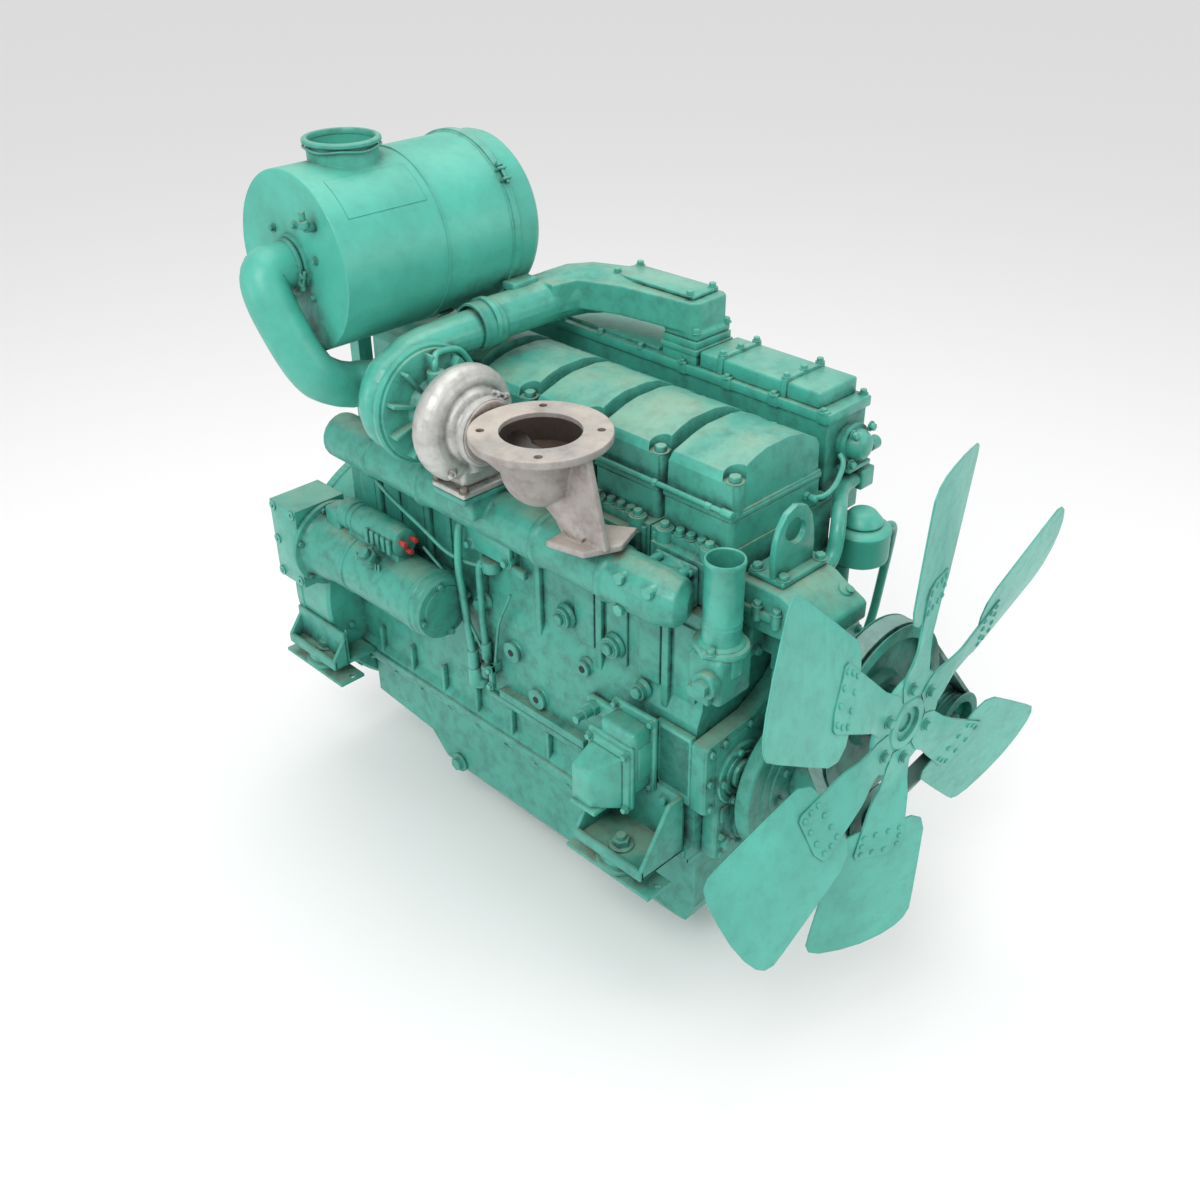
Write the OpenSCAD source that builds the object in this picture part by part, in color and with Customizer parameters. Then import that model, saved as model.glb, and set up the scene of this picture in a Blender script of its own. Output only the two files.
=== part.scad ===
/* [Crank train] */
// Cylinder bore diameter
bore_d = 159; // [140:1:162]
// Radius of the crank throw, half of the stroke
throw_r = 79.5; // [70:0.5:80]
// Distance from the wrist pin to the piston crown
pin_to_crown = 105; // [95:1:110]
// Distance between cylinder centres
cyl_pitch = 203; // [200:1:206]
// Radius of a main journal
main_r = 70; // [60:1:74]
// Radius of a crankpin
pin_r = 52; // [44:1:55]
// Radius of a counterweight
weight_r = 138; // [125:1:140]
// Running clearance on the radius of bores and shafts
run_clear = 0.05; // [0.02:0.01:0.1]
// Gap between pieces that move past one another
gap = 0.3; // [0.2:0.1:0.6]

/* [Block and heads] */
// Height of the top deck above the crank axis
deck_z = 475; // [470:1:490]
// Height of a cylinder head
head_h = 125; // [115:1:130]
// Height of a rocker housing
rocker_h = 65; // [60:1:75]
// Height of a rocker cover at its crown
cover_h = 140; // [130:1:150]
// Half width of the pan rail
rail_x = 255; // [250:1:262]
// Half width of the block above the rail
side_x = 240; // [236:1:245]
// Height of the pan rail joint below the crank axis
rail_z = 170; // [160:1:178]
// Depth of the oil pan below its joint
pan_h = 290; // [240:5:320]
// Wall thickness of covers
cover_wall = 6; // [4:0.5:8]

/* [Flywheel end] */
// Outside radius of the flywheel housing flange
flange_r = 356; // [354:1:360]
// Radius of the pilot bore of the flywheel housing
pilot_r = 323.85; // [323:0.05:325]
// Radius of the housing bolt circle
bolt_circle_r = 339.725; // [338:0.005:342]
// Radius of a housing bolt hole
bolt_hole_r = 6.75; // [5.5:0.25:7.5]
// Number of housing bolt holes
bolt_count = 16; // [12:2:18]
// Depth of the flywheel housing
housing_l = 150; // [146:1:156]
// Module of the ring gear teeth
ring_module = 4.8; // [4.6:0.1:4.8]

/* [Gears] */
// Module of the timing gear teeth
gear_module = 6; // [5.5:0.25:6]
// Face width of the timing gears
gear_w = 24; // [18:1:26]
// Teeth on the crank gear
crank_teeth = 24; // [24:1:24]
// Teeth on the accessory gear
access_teeth = 30; // [30:1:30]

/* [Front drive] */
// Radius of the fan blades at the tip
fan_r = 595; // [560:5:620]
// Height of the fan axis above the crank axis
fan_z = 280; // [276:1:290]
// Groove radius of the fan pulley
fan_pulley_r = 190; // [170:1:192]
// Groove radius of the crank pulley
crank_pulley_r = 66; // [60:1:68]
// Groove radius of the water pump pulley
pump_pulley_r = 76; // [66:1:84]
// Belt width
belt_w = 40; // [30:1:44]
// Radius of the crank damper
damper_r = 200; // [180:1:203]

/* [Air and exhaust] */
// Radius of the air filter can
filter_r = 198; // [190:1:202]
// Length of the air filter can without its end cover
filter_l = 470; // [450:1:480]
// Outside radius of the exhaust outlet flange
outlet_r = 151.5; // [148:0.5:156]
// Bore radius of the exhaust outlet
outlet_bore_r = 86.5; // [82:0.5:90]
// Bolt circle radius of the exhaust outlet
outlet_pcd_r = 123.5; // [120:0.5:128]
// Radius of the compressor volute
volute_r = 141; // [136:1:144]
// Radius of the manifold log
log_r = 62; // [56:1:64]

/* [Small parts] */
// Radius of the water inlet tube
tube_r = 42.5; // [38:0.5:43]
// Radius of the filler can
can_r = 65; // [58:1:66]
// Radius of the starter body
starter_r = 84; // [76:1:88]
// Travel of the starter pinion
pinion_travel = 30; // [26:1:32]
// Turn the whole engine's drawing quality, segments of a large circle
arc_steps = 64; // [48:4:96]

/* [Hidden] */
$fn = arc_steps;

cyl1_y = -1293;
front_y = -1395;
rear_y = -housing_l;
block_l = rear_y - front_y;
head_top = deck_z + head_h;
rocker_top = head_top + rocker_h;
bore_r = bore_d / 2;
liner_r = bore_r + 12;
tdc_z = deck_z - pin_to_crown;
rod_l = tdc_z - throw_r;
cam_teeth = 2 * crank_teeth;
cam_dist = gear_module * (crank_teeth + cam_teeth) / 2;
cam_a = 48;
cam_x = cam_dist * cos(cam_a);
cam_z = cam_dist * sin(cam_a);
cam_j = 36;
acc_dist = gear_module * (crank_teeth + access_teeth) / 2;
acc_a = 158;
acc_x = acc_dist * cos(acc_a);
acc_z = acc_dist * sin(acc_a);
case_l = 46;
case_y = front_y - case_l;
nose_y = case_y - 11;
gear_y = front_y - 8;
ring_teeth = 132;
pinion_teeth = 12;
ring_r = ring_module * ring_teeth / 2;
pinion_d = ring_module * (ring_teeth + pinion_teeth) / 2;
pinion_a = 147.2;
pinion_x = pinion_d * cos(pinion_a);
pinion_z = pinion_d * sin(pinion_a);
barrel_r = 340;
filter_x = -455;
filter_y = -381;
filter_z = 1048;
pump_x = 330;
pump_z = 60;
starter_x = -326;
starter_z = 212;
damper_y = nose_y - gap - 18;
inlet_r = 52;
turn_r = 66;
neck_y = -540;
green = [0.29, 0.73, 0.63];
steel = [0.62, 0.63, 0.65];
dark = [0.16, 0.17, 0.18];
function inlet_route() = concat(rounded([[filter_x - 12 - gap, filter_y, filter_z], [-556, filter_y, filter_z], [-512, -470, 838],
  [-452, -470, 792], [-335 - turn_r, neck_y + turn_r + 8, 772]], 110, 5),
  [for (a = [15 : 15 : 90]) [-335 - turn_r + turn_r * sin(a), neck_y + 8 + turn_r * cos(a), 772 - a / 9]],
  [[-335, neck_y + gap, 762]]);
function push_dy(s) = s < 0 ? -42 : 66;
function cyl_y(n) = cyl1_y + (n - 1) * cyl_pitch;
function crank_a(n) = (n == 1 || n == 6) ? 0 : (n == 2 || n == 5) ? 120 : -120;
function bolt_dy(s) = s < 0 ? -76 : 27;
function pin_z(a) = throw_r * cos(a) + sqrt(rod_l * rod_l - pow(throw_r * sin(a), 2));
function mesh_phase(phi, tha, na, nb) = phi + 180 - ((tha - phi) * na + 180) / nb;

module cyl_along_y(x, y, z, r, l) {
  translate([x, y, z]) rotate([-90, 0, 0]) cylinder(r = r, h = l);
}
module cyl_along_x(x, y, z, r, l) {
  translate([x, y, z]) rotate([0, 90, 0]) cylinder(r = r, h = l);
}
module cyl_up(x, y, z, r, h) {
  translate([x, y, z]) cylinder(r = r, h = h);
}
module box(x0, x1, y0, y1, z0, z1) {
  translate([x0, y0, z0]) cube([x1 - x0, y1 - y0, z1 - z0]);
}
module face_y(y1, l) {
  translate([0, y1, 0]) rotate([90, 0, 0]) linear_extrude(l) children();
}
module face_x(x0, l) {
  translate([x0, 0, 0]) rotate([90, 0, 90]) linear_extrude(l) children();
}
module spin_y(x, y, z) {
  translate([x, y, z]) rotate([-90, 0, 0]) rotate_extrude() children();
}
module spin_x(x, y, z) {
  translate([x, y, z]) rotate([0, 90, 0]) rotate_extrude() children();
}
module round_rect(w, h, r) {
  square([w - 2 * r, h], center = true);
  square([w, h - 2 * r], center = true);
  for (sx = [-1, 1], sy = [-1, 1]) translate([sx * (w / 2 - r), sy * (h / 2 - r)]) circle(r = r, $fn = 24);
}
module hex_up(x, y, z, r, h) {
  translate([x, y, z]) cylinder(r = r, h = h, $fn = 6);
}
module hex_along_y(x, y, z, r, h) {
  translate([x, y, z]) rotate([-90, 0, 0]) cylinder(r = r, h = h, $fn = 6);
}
module hex_along_x(x, y, z, r, h) {
  translate([x, y, z]) rotate([0, 90, 0]) cylinder(r = r, h = h, $fn = 6);
}
module gear_2d(teeth, m, phase) {
  pr = teeth * m / 2;
  step = 360 / teeth;
  polygon([for (i = [0 : teeth - 1], k = [0 : 5])
    let (a = phase + i * step + step * [-0.31, -0.21, -0.1, 0.1, 0.21, 0.31][k],
      r = pr + m * [-1.2, -0.05, 0.95, 0.95, -0.05, -1.2][k])
    [r * cos(a), r * sin(a)]]);
}
module gear_along_y(x, y1, z, teeth, m, phase, w) {
  translate([x, y1, z]) rotate([90, 0, 0]) linear_extrude(w) gear_2d(teeth, m, phase);
}
module pipe_seg(a, b, r) {
  d = b - a;
  l = norm(d);
  translate(a) rotate([0, acos(d[2] / l), atan2(d[1], d[0])]) cylinder(r = r, h = l, $fn = 48);
}
function unit(v) = v / norm(v);
function rounded(p, d, k) = concat([p[0]], [for (i = [1 : len(p) - 2])
  let (a = p[i] + unit(p[i - 1] - p[i]) * min(d, norm(p[i - 1] - p[i]) * 0.48),
    b = p[i] + unit(p[i + 1] - p[i]) * min(d, norm(p[i + 1] - p[i]) * 0.48))
  for (j = [0 : k]) let (s = j / k) a * (1 - s) * (1 - s) + p[i] * 2 * s * (1 - s) + b * s * s], [p[len(p) - 1]]);
function heading(p) = [for (i = [0 : len(p) - 1])
  unit((i == 0 ? [0, 0, 0] : unit(p[i] - p[i - 1])) + (i == len(p) - 1 ? [0, 0, 0] : unit(p[i + 1] - p[i])))];
function square_to(t) = unit(cross(t, abs(t[2]) < 0.8 ? [0, 0, 1] : [0, 1, 0]));
function carried(t) = [for (i = 0, u = square_to(t[0]); i < len(t);
  i = i + 1, u = i < len(t) ? unit(u - t[i] * (u * t[i])) : u) u];
function ring(c, t, u, r, m) = [for (j = [0 : m - 1])
  c + (u * cos(j * 360 / m) + cross(t, u) * sin(j * 360 / m)) * r];
function wall_faces(n, m, o, flip) = [for (i = [0 : n - 2], j = [0 : m - 1])
  let (q = [o + i * m + j, o + i * m + (j + 1) % m, o + (i + 1) * m + (j + 1) % m, o + (i + 1) * m + j])
  flip ? [q[3], q[2], q[1], q[0]] : q];
module sweep(route, r, m) {
  t = heading(route);
  u = carried(t);
  n = len(route);
  polyhedron([for (i = [0 : n - 1]) each ring(route[i], t[i], u[i], r, m)],
    concat([[for (j = [0 : m - 1]) j]], wall_faces(n, m, 0, true), [[for (j = [0 : m - 1]) n * m - 1 - j]]));
}
module hollow_sweep(route, r, w, m) {
  t = heading(route);
  u = carried(t);
  n = len(route);
  k = n * m;
  polyhedron(concat([for (i = [0 : n - 1]) each ring(route[i], t[i], u[i], r, m)],
    [for (i = [0 : n - 1]) each ring(route[i], t[i], u[i], r - w, m)]),
    concat(wall_faces(n, m, 0, true), wall_faces(n, m, k, false),
      [for (j = [0 : m - 1]) [j, (j + 1) % m, k + (j + 1) % m, k + j]],
      [for (j = [0 : m - 1]) [k - m + (j + 1) % m, k - m + j, 2 * k - m + j, 2 * k - m + (j + 1) % m]]));
}
module pipe_run(pts, r) {
  sweep(rounded(pts, r * 3.2, 6), r, 16);
}

module block_side() {
  polygon([[-rail_x, -rail_z], [-rail_x, -rail_z + 30], [-side_x, -rail_z + 45], [-side_x, 200], [-side_x + 15, 240],
    [-side_x + 15, deck_z], [side_x - 15, deck_z], [side_x - 15, 240], [side_x, 200], [side_x, -rail_z + 45],
    [rail_x, -rail_z + 30], [rail_x, -rail_z]]);
}
module cylinder_block() {
  color(green) difference() {
    union() {
      face_y(rear_y, block_l) block_side();
      for (n = [1 : 6], s = [-1, 1]) box(min(s * 220, s * 236), max(s * 220, s * 236), cyl_y(n) - 8, cyl_y(n) + 8, 205, deck_z - 12);
      for (p = [[-982, 303], [-1140, 296]]) cyl_along_x(-252, p[0], p[1], 24, 30);
      for (p = [[-886, 22], [-800, 120]]) cyl_along_x(-252, p[0], p[1], 26, 30);
      box(-262, -238, -1060, -757, -30, -8);
      box(-238, -220, -815, -650, 361, 470);
    }
    for (n = [1 : 6]) {
      cyl_up(0, cyl_y(n), 120, liner_r + gap, deck_z);
      cyl_along_y(0, cyl_y(n) - 77, 0, 178, 154);
      box(-178, 178, cyl_y(n) - 77, cyl_y(n) + 77, -rail_z - 1, 0);
      for (s = [-1, 1]) translate([cam_x, cyl_y(n) + push_dy(s), cam_z]) rotate([0, -3, 0]) cylinder(r = 13, h = 400, $fn = 24);
    }
    cyl_along_y(0, front_y - 1, 0, main_r + run_clear, block_l + 2);
    cyl_along_y(cam_x, front_y - 1, cam_z, cam_j + run_clear, block_l + 2);
  }
}
module cylinder_liners() {
  color(steel) for (n = [1 : 6]) difference() {
    cyl_up(0, cyl_y(n), 150, liner_r, deck_z - 150);
    cyl_up(0, cyl_y(n), 149, bore_r, deck_z);
  }
}
module head_at(n) {
  difference() {
    union() {
      box(-178, 190, cyl_y(n) - 99, cyl_y(n) + 99, deck_z, head_top);
      box(-200, -170, cyl_y(n) - 80, cyl_y(n) + 80, deck_z + 8, head_top - 20);
      for (s = [-1, 1]) cyl_up(-176, cyl_y(n) + s * 62, head_top - 30, 20, 40);
    }
    for (sx = [-1, 1], sy = [-1, 1]) {
      cyl_up(sx * 34, cyl_y(n) + sy * 34, deck_z - 1, 6 + run_clear, head_h + 2);
      cyl_up(sx * 34, cyl_y(n) + sy * 34, deck_z - 1, 29, 8);
    }
    cyl_along_x(-201, cyl_y(n), 525, 28, 110);
    cyl_along_x(60, cyl_y(n), 550, 30, 131);
    for (s = [-1, 1]) translate([cam_x, cyl_y(n) + push_dy(s), cam_z]) rotate([0, -3, 0]) cylinder(r = 13, h = 560, $fn = 24);
  }
}
module cylinder_heads() {
  color(green) for (n = [1 : 6]) head_at(n);
}
module rocker_housings() {
  color(green) for (n = [1 : 6]) difference() {
    union() {
      difference() {
        translate([0, cyl_y(n), head_top]) linear_extrude(rocker_h) round_rect(300, 190, 14);
        translate([0, cyl_y(n), head_top - 1]) linear_extrude(rocker_h + 2) round_rect(282, 172, 8);
      }
      for (s = [-1, 1]) {
        cyl_up(s * 122, cyl_y(n) + bolt_dy(s), head_top, 16, rocker_h);
        box(min(s * 118, s * 143), max(s * 118, s * 143), cyl_y(n) + bolt_dy(s) - 8, cyl_y(n) + bolt_dy(s) + 8, head_top, rocker_top);
      }
    }
    for (s = [-1, 1]) cyl_up(s * 122, cyl_y(n) + bolt_dy(s), head_top + 10, 6.7, rocker_h);
  }
}
module cover_2d(w) {
  polygon([[-150 + w, -w], [-150 + w, 66 - w], [-136 + w, 82 - w], [-70 + w / 2, cover_h - 12 - w], [-30, cover_h - w],
    [30, cover_h - w], [70 - w / 2, cover_h - 12 - w], [136 - w, 82 - w], [150 - w, 66 - w], [150 - w, -w]]);
}
module rocker_cover(n) {
  y = cyl_y(n);
  color(green) difference() {
    union() {
      difference() {
        translate([0, 0, rocker_top]) face_y(y + 95, 190) cover_2d(0);
        translate([0, 0, rocker_top]) face_y(y + 95 - cover_wall, 190 - 2 * cover_wall) cover_2d(cover_wall);
      }
      for (s = [-1, 1]) cyl_up(s * 122, y + bolt_dy(s), rocker_top, 18, 80);
      box(-110, 110, y - 92, y + 92, rocker_top + 66, rocker_top + 70);
    }
    for (s = [-1, 1]) {
      cyl_up(s * 122, y + bolt_dy(s), rocker_top - 1, 7, 100);
      cyl_up(s * 122, y + bolt_dy(s), rocker_top + 80, 19, 60);
    }
    box(-112, 112, y - 80, y + 80, rocker_top + 60, rocker_top + 72);
  }
}
module rocker_cover_1() { rocker_cover(1); }
module rocker_cover_2() { rocker_cover(2); }
module rocker_cover_3() { rocker_cover(3); }
module rocker_cover_4() { rocker_cover(4); }
module rocker_cover_5() { rocker_cover(5); }
module rocker_cover_6() { rocker_cover(6); }
module cover_bolts() {
  color(steel) for (n = [1 : 6], s = [-1, 1]) translate([s * 122, cyl_y(n) + bolt_dy(s), 0]) {
    cyl_up(0, 0, rocker_top + 80, 14, 3);
    hex_up(0, 0, rocker_top + 83, 11, 10);
    cyl_up(0, 0, head_top + 20, 6.3, rocker_h + 61);
  }
}
module push_rods() {
  color(steel) for (n = [1 : 6], s = [-1, 1]) translate([cam_x, cyl_y(n) + push_dy(s), cam_z]) rotate([0, -3, 0]) {
    translate([0, 0, 37]) cylinder(r = 12, h = 40, $fn = 24);
    translate([0, 0, 77]) cylinder(r = 8, h = 452.3, $fn = 24);
  }
}
module rocker_arms() {
  color(steel) for (n = [1 : 6]) union() {
    cyl_along_y(62, cyl_y(n) - 66, 690, 15, 148);
    box(48, 76, cyl_y(n) - 10, cyl_y(n) + 10, head_top, 690);
    for (s = [-1, 1]) {
      face_y(cyl_y(n) + push_dy(s) + 9, 18) polygon([[130, 702], [104, 702], [84, 712], [50, 712], [50, 672], [80, 672], [104, 690], [130, 690]]);
      face_y(cyl_y(n) + s * 36 + 9, 18) polygon([[74, 712], [40, 712], [6, 700], [6, 676], [48, 676], [56, 672], [74, 672]]);
      cyl_along_y(62, cyl_y(n) + (s < 0 ? -51 : 27), 690, 22, s < 0 ? 24 : 48);
    }
  }
}
module valves() {
  color(steel) for (n = [1 : 6], sx = [-1, 1], sy = [-1, 1]) translate([sx * 34, cyl_y(n) + sy * 34, 0]) {
    cyl_up(0, 0, deck_z + 2, 28, 4.7);
    cyl_up(0, 0, deck_z + 5, 6, head_h + 70.7);
    cyl_up(0, 0, head_top + 48, 13, 5);
  }
}
module side_cover() {
  color(green) difference() {
    box(-250, -238, -812, -653, 365, 466);
    for (y = [-800, -665], z = [376, 455]) cyl_along_x(-251, y, z, 5.5, 14);
  }
  color(steel) for (y = [-800, -665], z = [376, 455]) {
    hex_along_x(-258, y, z, 9, 8);
    cyl_along_x(-250, y, z, 5.2, 11);
  }
}
module flywheel_housing() {
  color(green) difference() {
    union() {
      spin_y(0, 0, 0) polygon([[95, -housing_l], [345, -housing_l], [353, -housing_l + 8], [353, -27], [flange_r, -25], [flange_r, 0],
        [pilot_r, 0], [pilot_r, -25], [barrel_r, -30], [barrel_r, -housing_l + 18], [95, -housing_l + 10]]);
      for (a = [10, 40, 70, 110, 140, -20, -70, -110, -160]) rotate([0, a, 0]) box(340, 355.5, -housing_l + 4, -24, -7, 7);
    }
    for (i = [0 : bolt_count - 1]) rotate([0, i * 360 / bolt_count + 11.25, 0]) cyl_along_y(bolt_circle_r, -26, 0, bolt_hole_r, 27);
    cyl_along_y(pinion_x, -housing_l - 1, pinion_z, 42, 88);
  }
}
module starter_box() {
  color(green) difference() {
    union() {
      box(-420, -268, -161, -45, 105, 332);
      for (p = [[120, -145], [120, -60], [318, -145], [318, -60], [218, -60]]) cyl_along_x(-424, p[1], p[0], 13, 8);
    }
    cyl_along_y(0, -170, 0, flange_r + gap, 140);
    cyl_along_y(pinion_x, -162, pinion_z, 42, 100);
    cyl_along_y(starter_x, -162, starter_z, 70, 30);
    for (p = [[120, -145], [120, -60], [318, -145], [318, -60], [218, -60]]) hex_along_x(-425, p[1], p[0], 6, 6);
  }
}
module case_2d(w) {
  translate([0, 0]) circle(r = 118 - w);
  translate([cam_x, cam_z]) circle(r = cam_teeth * gear_module / 2 + 20 - w);
  translate([acc_x, acc_z]) circle(r = access_teeth * gear_module / 2 + 18 - w);
  translate([cam_x / 2, cam_z / 2]) rotate(cam_a) square([200, 220 - 2 * w], center = true);
  translate([acc_x / 2, acc_z / 2]) rotate(acc_a) square([150, 200 - 2 * w], center = true);
}
module gear_case() {
  color(green) difference() {
    union() {
      face_y(front_y, case_l) case_2d(0);
      face_y(front_y, 12) polygon([[-215, -rail_z], [215, -rail_z], [215, 60], [-215, 60]]);
      box(182, 242, case_y, front_y, 240, 330);
      cyl_along_y(0, case_y - 6, 0, 92, 10);
      cyl_along_y(acc_x, case_y - 12, acc_z, 70, 14);
      for (i = [0 : 5]) translate([acc_x, case_y - 12, acc_z]) rotate([0, i * 60, 0]) hex_along_y(58, -6, 0, 7, 8);
    }
    face_y(front_y + 1, case_l - 7) case_2d(9);
    cyl_along_y(0, case_y - 8, 0, 60 + run_clear, 20);
    cyl_along_y(acc_x, case_y - 14, acc_z, 22 + run_clear, 40);
    cyl_up(212, front_y - 23, 240, 14, 100);
  }
}
module pan_side(w) {
  translate([0, -rail_z]) polygon([[front_y + 4 + w, 1], [front_y + 4 + w, -pan_h + 110 + w], [front_y + 30 + w, -pan_h + 50 + w],
    [front_y + 80 + w, -pan_h + 12 + w], [front_y + 140, -pan_h + w], [rear_y - 360, -pan_h + w], [rear_y - 250, -pan_h + 110 + w],
    [rear_y - 8 - w, -pan_h + 130 + w], [rear_y - 8 - w, 1]]);
}
module oil_pan() {
  color(green) difference() {
    union() {
      intersection() {
        face_x(-222, 444) pan_side(0);
        face_y(rear_y, block_l) polygon([[-222, -rail_z], [222, -rail_z], [222, -rail_z - pan_h + 50], [190, -rail_z - pan_h],
          [-190, -rail_z - pan_h], [-222, -rail_z - pan_h + 50]]);
      }
      box(-rail_x, rail_x, front_y, rear_y, -rail_z - 12, -rail_z);
    }
    intersection() {
      face_x(-216, 432) pan_side(6);
      face_y(rear_y, block_l) polygon([[-214, -rail_z + 1], [214, -rail_z + 1], [214, -rail_z - pan_h + 54], [186, -rail_z - pan_h + 6],
        [-186, -rail_z - pan_h + 6], [-214, -rail_z - pan_h + 54]]);
    }
  }
}
module oil_filters() {
  color(green) for (i = [0 : 2]) translate([300, -820 - i * 130, 0]) {
    translate([0, 0, -44]) cylinder(r = 55, h = 200);
    translate([0, 0, 156]) cylinder(r = 58, h = 14);
    translate([0, 0, -58]) cylinder(r = 46, h = 14);
  }
  color(green) difference() {
    box(side_x, 358, -1140, -760, 170, 200);
    for (i = [0 : 2]) cyl_up(300, -820 - i * 130, 180, 20, 30);
  }
}
module aftercooler_body() {
  color(green) difference() {
    union() {
      box(190, 330, -1365, -250, 520, 768);
      box(184, 336, -1371, -244, 768, 780);
      for (i = [0 : 8]) box(186, 190, -1340 + i * 130, -1332 + i * 130, 604, 768);
      cyl_along_y(262, -1392, 706, 38, 30);
      box(270, 318, -1412, -1364, 594, 642);
      for (p = [[-1080, 0], [-700, 0]]) cyl_along_x(330, p[0], 600, 30, 18);
    }
    box(202, 318, -1353, -262, 560, 781);
    for (n = [1 : 6]) cyl_along_x(189, cyl_y(n), 550, 30, 30);
    cyl_along_y(262, -1393, 706, 26, 50);
  }
}
module aftercooler_cover() {
  color(green) difference() {
    union() {
      box(184, 336, -1371, -244, 780, 791);
      box(192, 328, -1337, -992, 791, 829);
      for (y = [-1238, -1056]) box(190, 330, y - 9, y + 9, 791, 838);
      box(190, 312, -985, -880, 791, 816);
      box(186, 316, -989, -876, 816, 831);
      box(190, 312, -985, -880, 831, 847);
      box(200, 320, -860, -262, 791, 801);
      for (i = [0 : 8]) for (x = [193, 327]) hex_up(x - (x > 200 ? -2 : 2), -1360 + i * 138, 791, 7, 7);
    }
    box(204, 316, -1325, -1004, 779, 820);
    box(210, 292, -970, -895, 779, 848);
  }
}
module aftercooler_core() {
  color(steel) union() {
    box(206, 314, -1300, -330, 560, 570);
    box(206, 314, -1300, -330, 742, 750);
    for (i = [0 : 24]) box(208, 312, -1298 + i * 40, -1290 + i * 40, 570, 742);
  }
}
module air_crossover() {
  color(green) difference() {
    union() {
      cyl_along_x(-118, -600, 880, 52, 268);
      cyl_along_x(-118, -600, 880, 57, 14);
      translate([0, 0, 860]) linear_extrude(76) polygon([[118, -556], [196, -556], [252, -600], [300, -700], [308, -960], [296, -976],
        [206, -976], [194, -960], [170, -760], [118, -648]]);
      box(190, 312, -985, -880, 847, 860);
    }
    cyl_along_x(-119, -600, 880, 44, 250);
    translate([0, 0, 866]) linear_extrude(64) polygon([[126, -562], [192, -562], [246, -604], [293, -702], [300, -956], [292, -968],
      [212, -968], [202, -958], [178, -762], [126, -642]]);
    box(212, 290, -968, -897, 846, 868);
  }
}
module compressor_housing() {
  color(steel) difference() {
    union() {
      spin_y(-335, -600, 762) translate([92, 0]) circle(r = volute_r - 92);
      spin_y(-335, -600, 762) polygon([[40, -54], [135, -54], [135, -44], [100, -30], [80, 40], [64, 48], [60, 52], [60, neck_y + 600],
        [40, neck_y + 600]]);
      cyl_along_x(-335, -600, 856, 44, 210);
      cyl_along_x(-133, -600, 870, 50, 14.7);
    }
    spin_y(-335, -600, 762) polygon([[0, -55], [125, -55], [125, -46], [60, -30], [48, 10], [44, neck_y + 601], [0, neck_y + 601]]);
    cyl_along_x(-330, -600, 858, 36, 220);
  }
}
module bearing_housing() {
  color(green) difference() {
    spin_y(-335, -700, 762) polygon([[12.05, 45.7], [130, 45.7], [134, 40], [130, 34], [70, 26], [58, 10], [56, -20], [70, -34], [76, -36],
      [76, -44], [12.05, -44]]);
    cyl_up(-335, -695, 790, 9, 60);
  }
  color(green) cyl_up(-335, -695, 816, 20, 14);
}
module turbine_housing() {
  color(steel) difference() {
    union() {
      spin_y(-335, -786, 762) translate([94, 0]) circle(r = 45);
      spin_y(-335, -786, 762) polygon([[40, 41.7], [90, 41.7], [110, 20], [90, -40], [70, -52], [64, -58], [72, -64], [72, -72], [40, -72]]);
      box(-385, -270, -830, -745, 626, 720);
      box(-398, -257, -843, -732, 610, 626);
    }
    spin_y(-335, -786, 762) polygon([[0, 42], [78, 42], [70, 10], [52, -10], [50, -73], [0, -73]]);
    box(-368, -290, -815, -760, 609, 740);
  }
}
module exhaust_elbow() {
  color([0.5, 0.48, 0.45]) difference() {
    union() {
      translate([-335, -1030, 802]) cylinder(r = outlet_r, h = 20);
      translate([-335, -1030, 730]) cylinder(r1 = 86, r2 = 104, h = 73);
      translate([-335, -1030, 740]) sphere(r = 88);
      pipe_seg([-335, -1030, 732], [-335, -870, 761], 54);
      cyl_along_y(-335, -874, 762, 76, 15.7);
      translate([-335, -1110, 600]) linear_extrude(14) polygon([[49, 18], [113, -85], [37, -115], [-41, -81], [-60, 10]]);
      pipe_seg([-335, -1040, 720], [-322, -1138, 634], 34);
    }
    translate([-335, -1030, 760]) cylinder(r = outlet_bore_r, h = 80);
    pipe_seg([-335, -1030, 732], [-335, -850, 764], 42);
    for (a = [45 : 90 : 315]) translate([-335 + outlet_pcd_r * cos(a), -1030 + outlet_pcd_r * sin(a), 801]) cylinder(r = 9, h = 22, $fn = 32);
  }
}
module exhaust_manifold() {
  color([0.45, 0.43, 0.4]) difference() {
    union() {
      cyl_along_y(-280, -1332, 525, log_r, 1112);
      for (n = [1 : 6]) {
        cyl_along_x(-280, cyl_y(n), 525, 44, 80);
        translate([-212, cyl_y(n), 525]) rotate([90, 0, 90]) linear_extrude(12) round_rect(120, 100, 14);
      }
      for (y = [-1332, -220]) translate([-280, y, 525]) sphere(r = log_r);
      box(-372, -262, -836, -738, 525, 596);
      box(-398, -257, -843, -732, 596, 610);
      for (p = [[-1253, 563], [-1333, 563], [-1253, 487]]) cyl_along_x(-330, p[0], p[1], 11, 118);
      for (p = [[-1092, 0], [-1195, 0]]) box(-300, -280, p[0] - 12, p[0] + 12, 570, 600);
      box(-376, -222, -1222, -1092, 588, 600);
    }
    cyl_along_y(-280, -1332, 525, 50, 1112);
    for (n = [1 : 6]) cyl_along_x(-280, cyl_y(n), 525, 28, 81);
    box(-368, -290, -815, -760, 530, 611);
  }
}
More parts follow.
